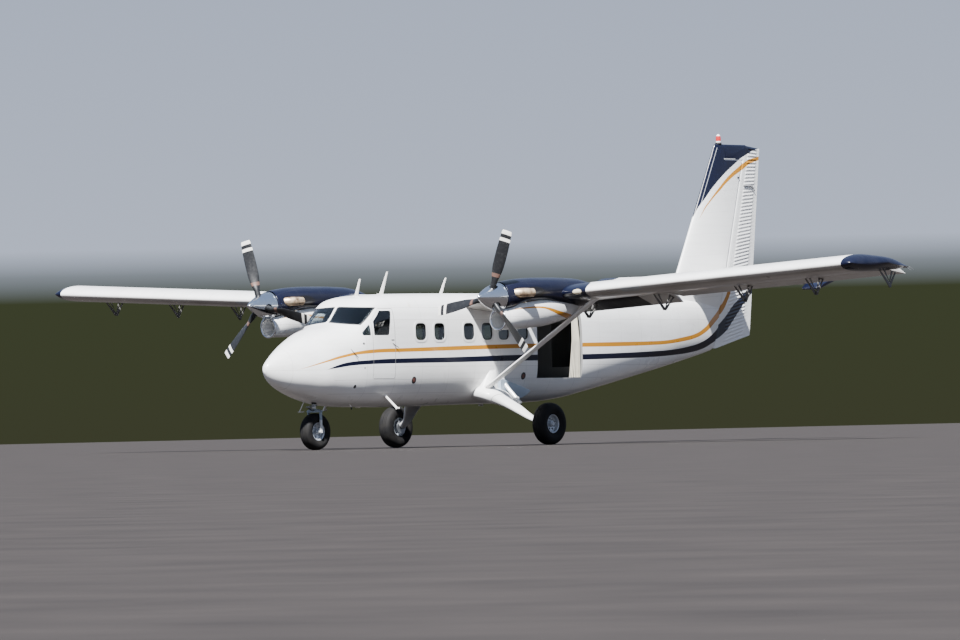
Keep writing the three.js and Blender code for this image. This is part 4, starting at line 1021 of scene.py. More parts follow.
def surface_paint(name, first, last, rest, black=None):
    """White above, brown painted shade below, and black paint below between two places along the span."""
    finish = sheet_finish(name)
    x, y, z = finish.place()
    out = abs(x)
    hinge, trail, outer = (drooped(Vector(p), first, last, rest)
                           for p in (wing_hinge(first), wing_point(first, 1, 0), wing_hinge(last)))
    outward, aftward = (outer.z - hinge.z) / (last - first), (trail.z - hinge.z) / (trail.y - hinge.y)
    chord = (out - first) * outward + (y - hinge.y) * aftward + hinge.z
    below = (z - chord).under(-0.001, 0.004)
    ribs = out.every(0.410, 0.12)
    laps = ribs.under(0.0025, 0.004)
    pressed(finish, laps, rivets_beside(ribs, y))
    # Brown painted shade, uneven in clouds, on the faces that look down.
    underside_shade = finish.noise(1.6, 5, 0.6, (1, 0.5, 1)) * 0.35 + 0.35
    colour = finish.blend(below * underside_shade, weathered(finish, WHITE), (0.24, 0.20, 0.165))
    if black:
        dark = below * out.between(*black, 0.006)
        colour = finish.blend(dark, colour, (0.004, 0.004, 0.005))
        finish.set("Coat Weight", dark * -0.3 + 0.3)
    return coloured(finish, finish.blend(laps * 0.5, colour, (0.28, 0.27, 0.26)))


# For each surface: its ends along the span, degrees down, the ends of its black part, and where its arms are.
surfaces = {"flap": (0.935, 4.430, 24, (2.000, 3.720), (1.270, 2.580, 4.410)),
            "aileron": (4.460, 9.640, 12, None, (6.320, 7.970, 9.631))}
for name, (first, last, rest, black, arm_places) in surfaces.items():
    panel = drooped(trailing_surface("panel", first, last), first, last, rest)
    panel_finish = surface_paint(f"{name}_paint", first, last, rest, black)
    port_and_starboard(panel, f"{name}_panel", panel_finish, "white_skin", name + "_{}", name + "_{}")
    arms = drooped(joined("arms", *[hinge_arm(x) for x in arm_places]), first, last, rest)
    # The arms take the hangers' dark painted shade.
    port_and_starboard(arms, f"{name}_arms", shaded_hanger_finish, "white_skin", name + "_{}")

# Wing struts
# A streamlined alloy strut runs from the top of the gear fairing to the wing, under the navy part beside
# the nacelle, with a cuff at each end.
strut_low, strut_high = Vector((0.930, at(5.340), 1.130)), Vector((3.650, at(5.370), 2.780))
STRUT_CHORD, STRUT_THICKNESS = 0.180, 0.062
along = (strut_high - strut_low).normalized()
aft = Vector((0, 1, 0))
across = along.cross(aft).normalized()


def strut_ring(share, swell=1.0):
    centre = strut_low.lerp(strut_high, share)
    ring = []
    for angle in around(48):
        c, s = math.cos(angle), math.sin(angle)
        ring.append(centre + aft * (0.5 * STRUT_CHORD * c * swell)
                    + across * (0.5 * STRUT_THICKNESS * s * swell * (1 - 0.18 * c)))
    return ring


strut = loft("strut", [strut_ring(t, 1 + 0.35 * max(0, 1 - t / 0.045) + 0.25 * max(0, (t - 0.95) / 0.05))
                       for t in [0, 0.015, 0.03, 0.045, 0.2, 0.5, 0.8, 0.94, 0.96, 0.98, 1.0]])
strut_finish = skin_paint("strut_paint", 5.0, (9.0,), stripes=False)
cut(strut, wing_form("wing_cut", 2.0, 5.0, WING_REAR + 0.001, SEAM), hull_tool(4.9, 5.8))
port_and_starboard(strut, "wing_strut_tube", strut_finish, "white_skin", nodes="wing_strut_{}")

# Antennas, crew steps and jack pads
# Three swept blade antennas stand on the roof, a tube step hangs below each crew door, and flat round pads
# under the belly take a jack. Beside them are the drain and the round ports in the sheet.
ANTENNA_ROOT = 2.850
# For each antenna: the front and rear of its root, the rear of its tip, and the height of its top.
antenna_rows = [(2.560, 2.665, 2.760, 3.190), (3.250, 3.370, 3.550, 3.330), (4.990, 5.090, 5.250, 3.220)]


def antenna(front, rear, tip, top):
    """A swept blade with a lens-shaped section and a flat tip."""
    rings = []
    for t in (0, 0.3, 0.6, 0.9, 0.98, 1.0):
        lead, trail = front + (tip - 0.045 - front) * t, rear + (tip - rear) * t
        z = ANTENNA_ROOT + (top - ANTENNA_ROOT) * t
        half = 0.007 * (1 if t < 0.95 else 0.7 if t < 1 else 0.35)
        middle, reach = (lead + trail) / 2, (trail - lead) / 2
        rings.append([(half * math.sin(a), at(middle + reach * math.cos(a)), z) for a in around(24)])
    return loft("antenna", rings)


antennas = joined("antennas", *[antenna(*row) for row in antenna_rows])
antenna_finish = plain_finish("antenna_white", (0.78, 0.76, 0.72), 0.35, coat_weight=0.3)
fitted(antennas, "airframe", antenna_finish, "white_skin", (), 50)
feet = joined("feet", *[block("foot", -0.018, 0.018, front - 0.02, rear + 0.02, *heights)
                        for (front, rear, _, _), heights in zip(
                            antenna_rows, ((2.82, 2.876), (2.88, 2.912), (2.88, 2.912)))])
fitted(feet, "airframe", antenna_finish, "white_skin")
step = joined("step", tube("leg", (0.660, 2.573, 1.027), (0.905, 2.673, 0.747), 0.023, 28),
              tube("toe", (0.905, 2.650, 0.747), (0.905, 2.733, 0.747), 0.018, 24))
port_and_starboard(step, "crew_step", antenna_finish, "white_skin")
pads = joined("pads", *[cut(tube("pad", (x, s, root), (x, s, 0.770), 0.045, 32),
                            tube("bore", (x, s, 0.75), (x, s, 0.792), 0.012, 16))
                        for x, s, root in ((0, 2.600, 0.830), (0.430, 6.700, 0.900), (-0.430, 6.700, 0.900))])
fitted(pads, "airframe", antenna_finish, "white_skin")
drain = joined("drain", tube("pipe", (0.300, 1.975, 0.870), (0.300, 2.070, 0.790), 0.013, 16),
               tube("rod", (-0.100, 1.235, 0.965), (-0.100, 1.064, 0.716), 0.009, 12),
               tube("bar", (-0.100, 1.032, 0.714), (-0.100, 1.188, 0.714), 0.009, 12))
fitted(drain, "airframe", antenna_finish, "white_skin")
ends = tube("end", (0.300, 2.069, 0.791), (0.300, 2.077, 0.742), 0.014, 16)
fitted(ends, "airframe", seal_finish, "white_skin")


def spots(name, places, low, high, sides=32):
    """Low round or square plates on the port skin, from station, height and half sizes."""
    bars = [side_bar("bar", [(s + a * math.cos(t), z + b * math.sin(t)) for t in around(sides)], 0.1, FAR)
            for s, z, a, b in places]
    return inlay(name, joined("bars", *bars), 1.5, 13.5, low, high, 0.06)


port_places = [(3.255, 1.270, 0.062, 0.066), (6.459, 1.323, 0.066, 0.070), (1.885, 1.960, 0.022, 0.020),
               (1.688, 1.164, 0.030, 0.034), (1.888, 1.506, 0.014, 0.014), (2.646, 2.023, 0.045, 0.010)]
ports = spots("ports", port_places, 0.004, 0.002)
fitted(ports, "airframe", seal_finish, "white_skin")
covers = spots("covers", [(3.255, 1.270, 0.036, 0.040), (6.459, 1.323, 0.036, 0.040)], 0.003, 0.004)
cover_finish = plain_finish("port_cover", (0.14, 0.045, 0.035), 0.5)
fitted(covers, "airframe", cover_finish, "white_skin")
patch = spots("patch", [(3.235, 2.679, 0.040, 0.060)], 0.003, 0.002, 4)
fitted(patch, "airframe", antenna_finish, "white_skin")
# Two thin black rods slant down and aft from the pitot on the nose and from the crew door's handle. They
# stand for these parts, but their black and their slant follow the parts' cast shadows: painted shadow.
probe_and_shadow_rods = joined("probe_and_shadow_rods", tube("probe", (0.745, 1.576, 1.859), (0.830, 1.700, 1.700), 0.009, 12, 0.006),
                tube("probe", (0.845, 2.603, 1.986), (0.905, 2.760, 1.880), 0.009, 12, 0.006))
fitted(probe_and_shadow_rods, "airframe", seal_finish, "white_skin")

# Nacelles
# Two-part sheet cowls round each engine: a navy upper cowl that fairs into the wing, and a white chin cowl
# below it with a round air intake in a bright lip.
# The columns of both tables are those of the fuselage's, about the middle of the nacelle.
upper_cowl_table = np.array([
    [3.345, 0.262, 2.502, 3.026, 2.764, 2.0, 2.0],
    [3.520, 0.298, 2.520, 3.072, 2.775, 2.1, 2.1],
    [3.900, 0.325, 2.650, 3.112, 2.800, 2.3, 2.3],
    [4.300, 0.332, 2.680, 3.130, 2.820, 2.5, 2.5],
    [4.860, 0.332, 2.600, 3.134, 2.820, 2.5, 2.5],
    [5.400, 0.318, 2.540, 3.122, 2.820, 2.4, 2.4],
    [5.880, 0.262, 2.640, 3.056, 2.850, 2.2, 2.2],
    [6.160, 0.180, 2.750, 2.955, 2.870, 2.0, 2.0],
])
lower_cowl_table = np.array([
    [3.335, 0.206, 2.168, 2.580, 2.350, 2.0, 2.0],
    [3.400, 0.220, 2.158, 2.600, 2.360, 2.1, 2.1],
    [3.750, 0.276, 2.166, 2.700, 2.440, 2.3, 2.3],
    [4.450, 0.300, 2.214, 2.800, 2.520, 2.4, 2.4],
    [5.190, 0.262, 2.350, 2.850, 2.600, 2.3, 2.3],
    [5.600, 0.190, 2.478, 2.850, 2.660, 2.1, 2.1],
    [5.980, 0.090, 2.600, 2.850, 2.720, 2.0, 2.0],
])
INTAKE_RADIUS, INTAKE_Z = 0.160, 2.342
BLOCK_RADIUS, BLOCK_FRONT, BLOCK_REAR, BLOCK_Z, BAY_RADIUS = 0.236, 3.370, 4.770, 2.796, 0.248
EXHAUST_Z, EXHAUST_RADIUS = 2.842, 0.086


def turned(name, profile, x, z, sides=96):
    """A piece turned about a line along Y, from radii and stations. A profile off the line is closed."""
    rings = [[(x + r * math.sin(a), at(s), z + r * math.cos(a)) for a in around(sides)] for r, s in profile]
    return loft(name, rings, closed=profile[0][0] > 0.001)


def swept(name, path, radii, sides=32, wall=None):
    """A bar or a thick tube along a path of x, station and height."""
    places = [Vector((p[0], at(p[1]), p[2])) for p in path]
    side, rings = None, []
    for k, centre in enumerate(places):
        along = (places[min(k + 1, len(places) - 1)] - places[max(k - 1, 0)]).normalized()
        side = (along.orthogonal() if side is None else side - along * side.dot(along)).normalized()
        rings.append((centre, side.copy(), along.cross(side)))

    def ring(k, radius):
        centre, across, up = rings[k]
        return [centre + across * (radius * math.cos(a)) + up * (radius * math.sin(a)) for a in around(sides)]

    skins = [ring(k, radii[k]) for k in range(len(places))]
    if wall:
        skins += [ring(k, radii[k] - wall) for k in range(len(places) - 1, len(places) // 2 - 1, -1)]
    return loft(name, skins)


def exhaust_path(side, count=16):
    """The elbow of an exhaust: out of the block's side, then aft."""
    t = np.linspace(0, 1, count)[:, None]
    start, corner, end = (np.array(p) for p in (
        (0.12, 3.515, EXHAUST_Z - 0.01), (0.375, 3.590, EXHAUST_Z), (0.398, 3.872, EXHAUST_Z)))
    path = (1 - t) ** 2 * start + 2 * t * (1 - t) * corner + t * t * end
    return [(ENGINE_X + side * p[0], p[1], p[2]) for p in path]


def cowl_paint(name, navy):
    """Cowl sheet with its panel joins and fasteners, sooted behind the exhausts, with painted shade in the
    recess behind each exhaust's mouth.
    """
    base = NAVY if navy else WHITE
    finish = Finish(name, base, 0.25, coat_weight=0.15 if navy else 0.5, coat_roughness=0.06,
                    specular_ior_level=0.3)
    x, y, z = finish.place()
    out, station = abs(abs(x) - ENGINE_X), station_of(y)
    joins = abs(out - 0.20) if navy else abs(z - 2.40)
    for join in (3.43, 3.90, 4.52, 5.02):
        joins = joins.least(abs(station - join))
    lines = joins.under(0.002, 0.004)
    finish.raised(lines, -0.001)
    dots = ((abs(joins - 0.016) ** 2 + (z + x).every(0.06) ** 2) ** 0.5).under(0.005, 0.003)
    finish.raised(dots, 0.0012)
    colour = weathered(finish, base, 0.12 if navy else 1.0)
    colour = finish.blend(lines * 0.6, colour, (0.02, 0.02, 0.03) if navy else (0.25, 0.24, 0.23))
    if navy:
        # Near-black just behind each exhaust's mouth: partly real soot, partly painted shade of the recess
        # behind the elbow. The streak further aft is soot, and the soot mask below carries both.
        exhaust_soot_and_shade = (((station - 4.05) / 0.26) ** 2 + ((z - EXHAUST_Z - 0.01) / 0.10) ** 2).under(1, 0.5)
        streak = (z - EXHAUST_Z - 0.03).near(0, 0.03, 0.18) * station.between(3.9, 5.1, 0.8)
        soot = (exhaust_soot_and_shade + streak * 0.75).held() * out.over(0.20, 0.05)
        colour = finish.blend(soot, colour, (0.008, 0.007, 0.007))
    else:
        upper = [(3.50, 2.527), (3.94, 2.583), (4.23, 2.589), (4.46, 2.567), (4.81, 2.501), (5.14, 2.450),
                 (5.30, 2.425)]
        lower = [(3.50, 2.523), (3.94, 2.550), (4.32, 2.546), (4.55, 2.492), (4.81, 2.423), (5.14, 2.365),
                 (5.30, 2.340)]
        colour = finish.blend(stripe(finish, upper, lower, (2.2, 2.7)), colour, GOLD)
    finish.set("Base Color", colour)
    finish.set("Roughness", finish.noise(3.0, 4) * 0.2 + 0.15)
    finish.raised(finish.noise(2.2, 2), 0.003)
    return finish.close(0.6)


def cowl(name, table, first, last, inward=0.0, step=0.04):
    return body_form(name, table, first, last, step, inward, ENGINE_X, 120)


def bay_bore():
    rear = BLOCK_REAR + 0.015
    return turned("bore", [(0, 3.30), (BAY_RADIUS, 3.30), (BAY_RADIUS, rear), (0, rear)],
                  ENGINE_X, BLOCK_Z, 64)


def wing_cut():
    return wing_form("wing_cut", ENGINE_X - 1.0, ENGINE_X + 1.0, WING_REAR + 0.001, SEAM)


navy_cowl_paint = cowl_paint("navy_cowl_paint", True)
white_cowl_paint = cowl_paint("white_cowl_paint", False)
upper_cowl = cowl("upper_cowl", upper_cowl_table, 3.345, 6.160)
inside = cowl("inside", upper_cowl_table, 3.3451, BLOCK_REAR + 0.015, 0.024)
inside.data.transform(Matrix.Translation((0, -0.002, 0)))
ports = [swept("port", exhaust_path(side), [EXHAUST_RADIUS + 0.012] * 16) for side in (1, -1)]
cut(upper_cowl, inside, bay_bore(), *ports, wing_cut())
port_and_starboard(upper_cowl, "upper_cowl_skin", navy_cowl_paint, "navy_skin", nodes="upper_cowl_{}")


def main_part(piece):
    """Keeps the largest of a piece's loose parts."""
    with edited(piece.data) as work:
        left, groups = set(work.verts), []
        while left:
            group, edge = set(), [left.pop()]
            while edge:
                vertex = edge.pop()
                group.add(vertex)
                for link in vertex.link_edges:
                    other = link.other_vert(vertex)
                    if other in left:
                        left.discard(other)
                        edge.append(other)
            groups.append(group)
        groups.sort(key=len)
        bmesh.ops.delete(work, geom=[v for group in groups[:-1] for v in group], context="VERTS")
    return piece


lower_cowl = cowl("lower_cowl", lower_cowl_table, 3.335, 5.980)
duct_profile = [(0, 3.30), (INTAKE_RADIUS, 3.30), (INTAKE_RADIUS, 3.60), (INTAKE_RADIUS * 0.8, 3.84),
                (0, 3.84)]
duct = turned("duct", duct_profile, ENGINE_X, INTAKE_Z, 72)
above_cowl = cowl("above", upper_cowl_table, 3.345, 6.160, -SEAM)
above_cowl.data.transform(Matrix.Translation((0, -0.0005, 0)))
cut(lower_cowl, above_cowl, duct, bay_bore(), wing_cut())
main_part(lower_cowl)
port_and_starboard(lower_cowl, "chin_cowl_skin", white_cowl_paint, "white_skin", nodes="lower_cowl_{}")

lip_profile = [(INTAKE_RADIUS + 0.021 + 0.021 * math.cos(a), 3.338 - 0.017 * math.sin(a))
               for a in np.linspace(-0.35, math.pi + 0.35, 20)]
intake_lip = turned("intake_lip", lip_profile, ENGINE_X, INTAKE_Z, 96)
bright_finish = Finish("bright_metal", (0.66, 0.68, 0.71), 0.16, metallic=1.0)
scratches = bright_finish.noise(14, 4, 0.6, (1, 0.15, 1))
bright_finish.set("Roughness", scratches * 0.22 + 0.08)
bright_finish.raised(bright_finish.noise(60, 2), 0.0002)
bright_finish.close(0.4)
port_and_starboard(intake_lip, "intake_lip", bright_finish, "polished")

# Engine block and exhausts
# A plain block stands in for each engine. A heat-stained steel elbow leaves it on each side and opens aft.
heat_finish = Finish("heat_stained_steel", (0.42, 0.31, 0.20), 0.45, metallic=0.7)
tint = heat_finish.noise(9, 5, 0.6)
heat_stops = [(0.30, (0.16, 0.10, 0.07)), (0.48, (0.50, 0.37, 0.24)), (0.68, (0.66, 0.55, 0.40))]
heat_finish.set("Base Color", heat_finish.node("ShaderNodeValToRGB", [tint], stops=heat_stops))
heat_finish.set("Roughness", tint * 0.4 + 0.25)
heat_finish.raised(heat_finish.noise(40, 4), 0.0012)
heat_finish.close(0.6)
block_steps = [(0, BLOCK_FRONT), (0.10, BLOCK_FRONT), (0.13, BLOCK_FRONT + 0.05), (0.20, BLOCK_FRONT + 0.09)]
for k in range(9):
    start = BLOCK_FRONT + 0.14 + 0.135 * k
    block_steps += [(BLOCK_RADIUS, start), (BLOCK_RADIUS, start + 0.03),
                    (BLOCK_RADIUS - 0.022, start + 0.034), (BLOCK_RADIUS - 0.022, start + 0.128)]
block_steps += [(BLOCK_RADIUS - 0.04, BLOCK_REAR), (0, BLOCK_REAR)]
engine = turned("engine_block", block_steps, ENGINE_X, BLOCK_Z, 64)
elbows = []
for side in (1, -1):
    path = exhaust_path(side)
    radii = [EXHAUST_RADIUS * (0.90 + 0.10 * math.sin(math.pi * k / 15)) for k in range(16)]
    radii[-1] = EXHAUST_RADIUS * 0.93
    elbows.append(swept("elbow", path, radii, 40, 0.006))
    elbows.append(swept("flange", path[3:5], [EXHAUST_RADIUS + 0.007] * 2, 40))
port_and_starboard(joined("engine", engine, *elbows), "engine_and_exhausts", heat_finish, "engine_steel",
                   nodes="engine_{}", crease=40)

# Propellers
# Three dark metal blades with square painted tips turn in a polished spinner, whose shell is cut away round
# the root of each blade.
PROP_RADIUS, PROP_DISC, PROP_TIP, PROP_BASE, SPINNER_RADIUS, SHANK = 1.295, 3.120, 2.762, 3.318, 0.262, 0.058
blade_table = np.array([
    # distance from the shaft, chord, thickness, pitch in degrees
    [0.060, 0.116, 0.1125, 60], [0.300, 0.116, 0.1044, 55], [0.430, 0.165, 0.062, 46],
    [0.640, 0.215, 0.034, 34], [0.900, 0.225, 0.024, 26], [1.120, 0.215, 0.018, 20],
    [1.277, 0.190, 0.014, 16], [PROP_RADIUS, 0.172, 0.006, 15],
])
BLADE_BLACK = (0.010, 0.0105, 0.012)
blade_finish = Finish("blade_paint", BLADE_BLACK, 0.45, coat_weight=0.1, specular_ior_level=0.3)
bx, _, bz = blade_finish.place()
from_shaft = ((abs(bx) - ENGINE_X) ** 2 + (bz - ENGINE_Z) ** 2) ** 0.5
bands = from_shaft.between(1.222, 1.40, 0.003) + from_shaft.between(1.090, 1.150, 0.003)
chips = blade_finish.noise(20, 5, 0.65)
blade_colour = blade_finish.blend(chips.over(0.6, 0.2) * 0.25, BLADE_BLACK, (0.06, 0.06, 0.06))
blade_colour = blade_finish.blend(from_shaft.between(0.40, 0.47, 0.003) * 0.5, blade_colour,
                                  (0.22, 0.12, 0.09))
blade_finish.paint(bands * (0.97 - chips.over(0.66, 0.1) * 0.3), blade_colour, (0.72, 0.70, 0.66))
blade_finish.set("Roughness", chips * 0.3 + 0.28)
blade_finish.raised(chips, 0.0006)
blade_finish.close(0.6)
spinner_finish = Finish("polished_spinner", (0.72, 0.74, 0.77), 0.1, metallic=1.0)
swirl = spinner_finish.noise(5, 4, 0.55, (1, 3.5, 1))
spinner_finish.set("Roughness", swirl * 0.16 + 0.05)
spinner_finish.raised(spinner_finish.noise(30, 3), 0.00025)
spinner_finish.close(0.4)


def blade_form():
    rings = []
    for radius in [0.060, 0.15, 0.22, *np.linspace(0.30, 1.277, 34), 1.288, PROP_RADIUS]:
        chord, thickness, pitch = (smooth_through(blade_table[:, 0], blade_table[:, c], radius)
                                   for c in (1, 2, 3))
        turn, ring = math.radians(pitch), []
        for angle in around(36):
            u, v = 0.5 * chord * math.cos(angle), 0.5 * thickness * math.sin(angle)
            ring.append((u * math.cos(turn) - v * math.sin(turn), u * math.sin(turn) + v * math.cos(turn),
                         radius))
        rings.append(ring)
    return loft("blade", rings)


def about_shaft(piece, side, degrees):
    piece.data.transform(Matrix.Translation((side * ENGINE_X, at(PROP_DISC), ENGINE_Z))
                         @ Matrix.Rotation(math.radians(degrees), 4, "Y"))
    return piece


def local_turned(name, profile, sides=96):
    """A turned piece about the shaft, with stations counted from the propeller's disc."""
    return turned(name, [(r, station_of(s)) for r, s in profile], 0, 0, sides)


for ending, side, start in (("left", 1, 20), ("right", -1, -16)):
    forms = [about_shaft(blade_form(), side, start + 120 * k) for k in range(3)]
    for k in range(3):
        sleeve = swept("sleeve", [(0, LENGTH / 2, 0.115), (0, LENGTH / 2, 0.200)], [0.072, 0.066], 36)
        forms.append(about_shaft(sleeve, side, start + 120 * k))
    hub = [(0, -0.095), (0.085, -0.095), (0.105, -0.075), (0.105, 0.075), (0.085, 0.095), (0, 0.095)]
    forms.append(about_shaft(local_turned("hub", hub, 48), side, start))
    blades = joined(f"propeller_{ending}_blade_set", *forms)
    fitted(blades, f"propeller_{ending}", blade_finish, "blade", [f"propeller_{ending}_blades"], 38)
    tip, base = PROP_TIP - PROP_DISC, PROP_BASE - PROP_DISC
    outer = [(0.0006, tip), (0.010, tip + 0.001), (0.020, tip + 0.005), (0.030, tip + 0.013),
             (0.060, tip + 0.058), (0.092, tip + 0.110), (0.128, tip + 0.173), (0.162, tip + 0.240),
             (0.194, tip + 0.314), (0.222, tip + 0.390), (0.246, tip + 0.478),
             (SPINNER_RADIUS, base - 0.004), (SPINNER_RADIUS, base)]
    inner = [(SPINNER_RADIUS - 0.012, base), (0.206, tip + 0.392), (0.146, tip + 0.246), (0.070, tip + 0.122),
             (0.0006, tip + 0.060)]
    shell = local_turned("shell", outer + inner)
    holes = []
    for k in range(3):
        hole = swept("hole", [(0, LENGTH / 2 + 0.01, 0.06), (0, LENGTH / 2 + 0.01, 0.46)],
                     [SHANK + 0.022] * 2, 48)
        hole.data.transform(Matrix.Rotation(math.radians(120 * k), 4, "Y"))
        holes.append(hole)
    cut(shell, joined("holes", *holes))
    fitted(about_shaft(shell, side, start), f"propeller_{ending}", spinner_finish, "polished",
           [f"propeller_{ending}_spinner"], 35)
    band = [(SPINNER_RADIUS + 0.001, base - 0.020), (SPINNER_RADIUS + 0.005, base - 0.012),
            (SPINNER_RADIUS + 0.005, base + 0.001), (SPINNER_RADIUS - 0.020, base + 0.001),
            (SPINNER_RADIUS - 0.020, base - 0.020)]
    back = [(0.0, base - 0.020), (SPINNER_RADIUS - 0.021, base - 0.020),
            (SPINNER_RADIUS - 0.021, base - 0.012), (0.0, base - 0.012)]
    for name, profile in (("band", band), ("back_plate", back)):
        fitted(about_shaft(local_turned(name, profile), side, start), f"propeller_{ending}", spinner_finish,
               "polished")

# Fin and beacon
# A tall swept fin of riveted sheet rises from the tail cone. Its rear face follows the rudder, a cap closes
# it ahead of the rudder's horn, and a red beacon stands on top.
HORN_Z, HORN_STATION, FIN_THICKNESS, FIN_LEAD, FIN_LEAN = 5.615, 13.880, 0.10, 11.972, 0.504
TAIL_Z, TAIL_LEAD, TAIL_HINGE, TAIL_TRAIL, TAIL_TIP, TAIL_ROOT = 3.120, 12.505, 13.300, 13.925, 3.150, 0.060
TAIL_HORN, HORN_LEAD, TAIL_THICKNESS, TAIL_RADIUS = 2.745, 12.770, 0.12, 0.062
ELEVATOR_REST = math.radians(19.5)
TUBE_RADIUS, TUBE_REACH, TUBE_CLEARANCE = 0.024, 0.190, 0.008


def fin_lead(z):
    return FIN_LEAD + FIN_LEAN * (z - FIN_BASE)


def fin_trail(z):
    return 14.706 + 0.12 * (z - FIN_BASE)


def fin_ring(z, rear, out=0.0, flat=1.0, draw=0.0):
    lead = fin_lead(z) - out
    whole = fin_trail(z) - lead
    ring = aerofoil_ring(0, FIN_THICKNESS + 2 * out / whole, (rear - lead) / whole, 24)
    return [(v * whole * flat, at(lead + u * whole + draw * (13.760 - lead - u * whole)), z) for u, v in ring]


def fin_form(out=0.0):
    levels = np.linspace(FIN_BASE, HORN_Z - 0.010, 12)
    main = loft("fin", [fin_ring(z, rudder_front(z) + out, out) for z in levels])
    steps = [(HORN_Z - 0.012, 1, 0), (5.850, 1, 0), (5.885, 0.97, 0.004), (5.905, 0.86, 0.020),
             (5.916, 0.70, 0.040), (FIN_TOP, 0.52, 0.060)]
    cap = loft("cap", [fin_ring(z, HORN_STATION - 0.012 + out, out, flat, draw) for z, flat, draw in steps])
    return cut(main, cap, how="UNION")


def tail_paint(name, laps=True):
    """White tail sheet with the navy top, the gold stripe and the hull's two bands."""
    finish = sheet_finish(name)
    _, y, z = finish.place()
    station = station_of(y)
    colour = weathered(finish, WHITE, 0.8)
    if laps:
        ribs = (z - station * 0.05).every(0.42, 0.1)
        lines = ribs.under(0.002, 0.004)
        pressed(finish, lines, rivets_beside(ribs, station))
        colour = finish.blend(lines * 0.35, colour, (0.30, 0.29, 0.28))
    colour = finish.blend(stripe(finish, gold_upper, gold_lower), colour, GOLD)
    colour = finish.blend(stripe(finish, navy_upper, navy_lower), colour, NAVY)
    heights = (4.0, 6.0)
    edge = finish.curve(station, (12.70, 15.15), heights, [
        (12.70, 4.20), (12.897, 4.475), (12.982, 4.604), (13.062, 4.694), (13.204, 4.825), (13.358, 4.976),
        (13.516, 5.108), (13.679, 5.230), (13.846, 5.343), (14.018, 5.445), (14.194, 5.539), (14.374, 5.633),
        (14.558, 5.707), (14.747, 5.781), (14.937, 5.830), (15.15, 5.868)])
    colour = finish.blend((z - edge).over(0, 0.008), colour, NAVY)
    upper = [
        (12.70, 4.10), (12.98, 4.400), (13.087, 4.534), (13.183, 4.655), (13.34, 4.796), (13.502, 4.937),
        (13.668, 5.070), (13.838, 5.202), (14.012, 5.315), (14.188, 5.408), (14.443, 5.534), (14.745, 5.640),
        (14.934, 5.674), (15.15, 5.712)]
    lower = [
        (12.70, 4.20), (12.98, 4.400), (13.084, 4.508), (13.178, 4.614), (13.336, 4.752), (13.497, 4.877),
        (13.662, 4.989), (13.833, 5.112), (14.007, 5.215), (14.185, 5.308), (14.441, 5.413), (14.743, 5.550),
        (14.932, 5.594), (15.15, 5.640)]
    gold = stripe(finish, upper, lower, heights) * station.over(12.98)
    colour = finish.blend(gold, colour, GOLD)
    behind_edge = station - z * FIN_LEAN - (FIN_LEAD - FIN_LEAN * FIN_BASE)
    edge_line = behind_edge.near(0.075, 0.008) * z.over(4.35, 0.01) * z.under(5.85)
    colour = finish.blend(edge_line * 0.5, colour, (0.55, 0.57, 0.60))
    bar = station.between(13.833, 14.232, 0.006) * z.between(5.615, 5.640, 0.006)
    return coloured(finish, finish.blend(bar * 0.7, colour, (0.45, 0.47, 0.48)), 1.6)


def torque_bar(radius):
    return tube("bar", (-TUBE_REACH, TAIL_HINGE, TAIL_Z), (TUBE_REACH, TAIL_HINGE, TAIL_Z), radius, 40)


fin_paint = tail_paint("fin_paint")
fin = cut(fin_form(), hull_tool(11.5, TAIL_END), torque_bar(TUBE_RADIUS + TUBE_CLEARANCE))
fitted(main_part(fin), "airframe", fin_paint, "white_skin", ["fin"])

BEACON_STATION, BEACON_RADIUS, BEACON_TOP = 13.760, 0.052, 6.124


def turned_up(name, profile, x, station, sides=64):
    """A piece turned about an upright line, from radii and heights."""
    return loft(name, [[(x + r * math.cos(a), at(station) + r * math.sin(a), z) for a in around(sides)]
                       for r, z in profile])


base_z = FIN_TOP + SEAM
lamp_base = turned_up("beacon_base", [(0.066, base_z), (0.066, base_z + 0.022), (0.060, base_z + 0.030),
                                      (0.054, base_z + 0.034)], 0, BEACON_STATION)
black_finish = plain_finish("black_plastic", (0.015, 0.015, 0.017), 0.4)
fitted(lamp_base, "airframe", black_finish, "beacon")
dome = turned_up("beacon_dome", [(BEACON_RADIUS, base_z + 0.0345), (BEACON_RADIUS, base_z + 0.110),
                                 (0.049, base_z + 0.140), (0.041, base_z + 0.168), (0.028, base_z + 0.188),
                                 (0.012, base_z + 0.199), (0.001, BEACON_TOP)], 0, BEACON_STATION)
dome_finish = Finish("beacon_lens", (0.45, 0.015, 0.015), 0.1, coat_weight=0.8, specular_ior_level=0.6)
_, _, dz = dome_finish.place()
pale = dz.between(base_z, base_z + 0.062) + dz.over(base_z + 0.165)
dome_finish.paint(pale, (0.42, 0.016, 0.016), (0.74, 0.72, 0.70))
dome_finish.raised(dz.every(0.012) * 80, 0.001)
dome_finish.close(0.6)
fitted(dome, "airframe", dome_finish, "beacon", ["beacon"], 40)

# Rudder
# A sheet surface with stiffening beads pressed across it, smooth along both edges, and a horn at its top that
# reaches forward over the fin.
RUDDER_LOW, RUDDER_LOW_TRAIL, BEAD_PITCH = 1.835, 2.095, 0.0742


def beads_at(place, share, height=0.010):
    """Outward height of the pressed beads at a place along the span and a share of the chord."""
    window = min(1, max(0, (share - 0.20) / 0.03)) * min(1, max(0, (0.80 - share) / 0.03))
    return height * window * (0.5 + 0.5 * math.cos(2 * math.pi * place / BEAD_PITCH)) ** 1.5


def beaded_section(radius, length, place, height=0.010):
    """A round-nosed section, from the nose's top round to the top again, with beads on both sides."""
    shares = [0.08, 0.16, 0.19, 0.20, 0.215, 0.23, 0.30, 0.42, 0.54, 0.66, 0.76, 0.77, 0.785, 0.80, 0.92, 1.0]
    rear = [(length * t, -radius + (radius - 0.0025) * t - beads_at(place, t, height)) for t in shares]
    return round_nose(radius) + rear + [(u, -v) for u, v in reversed(rear)]


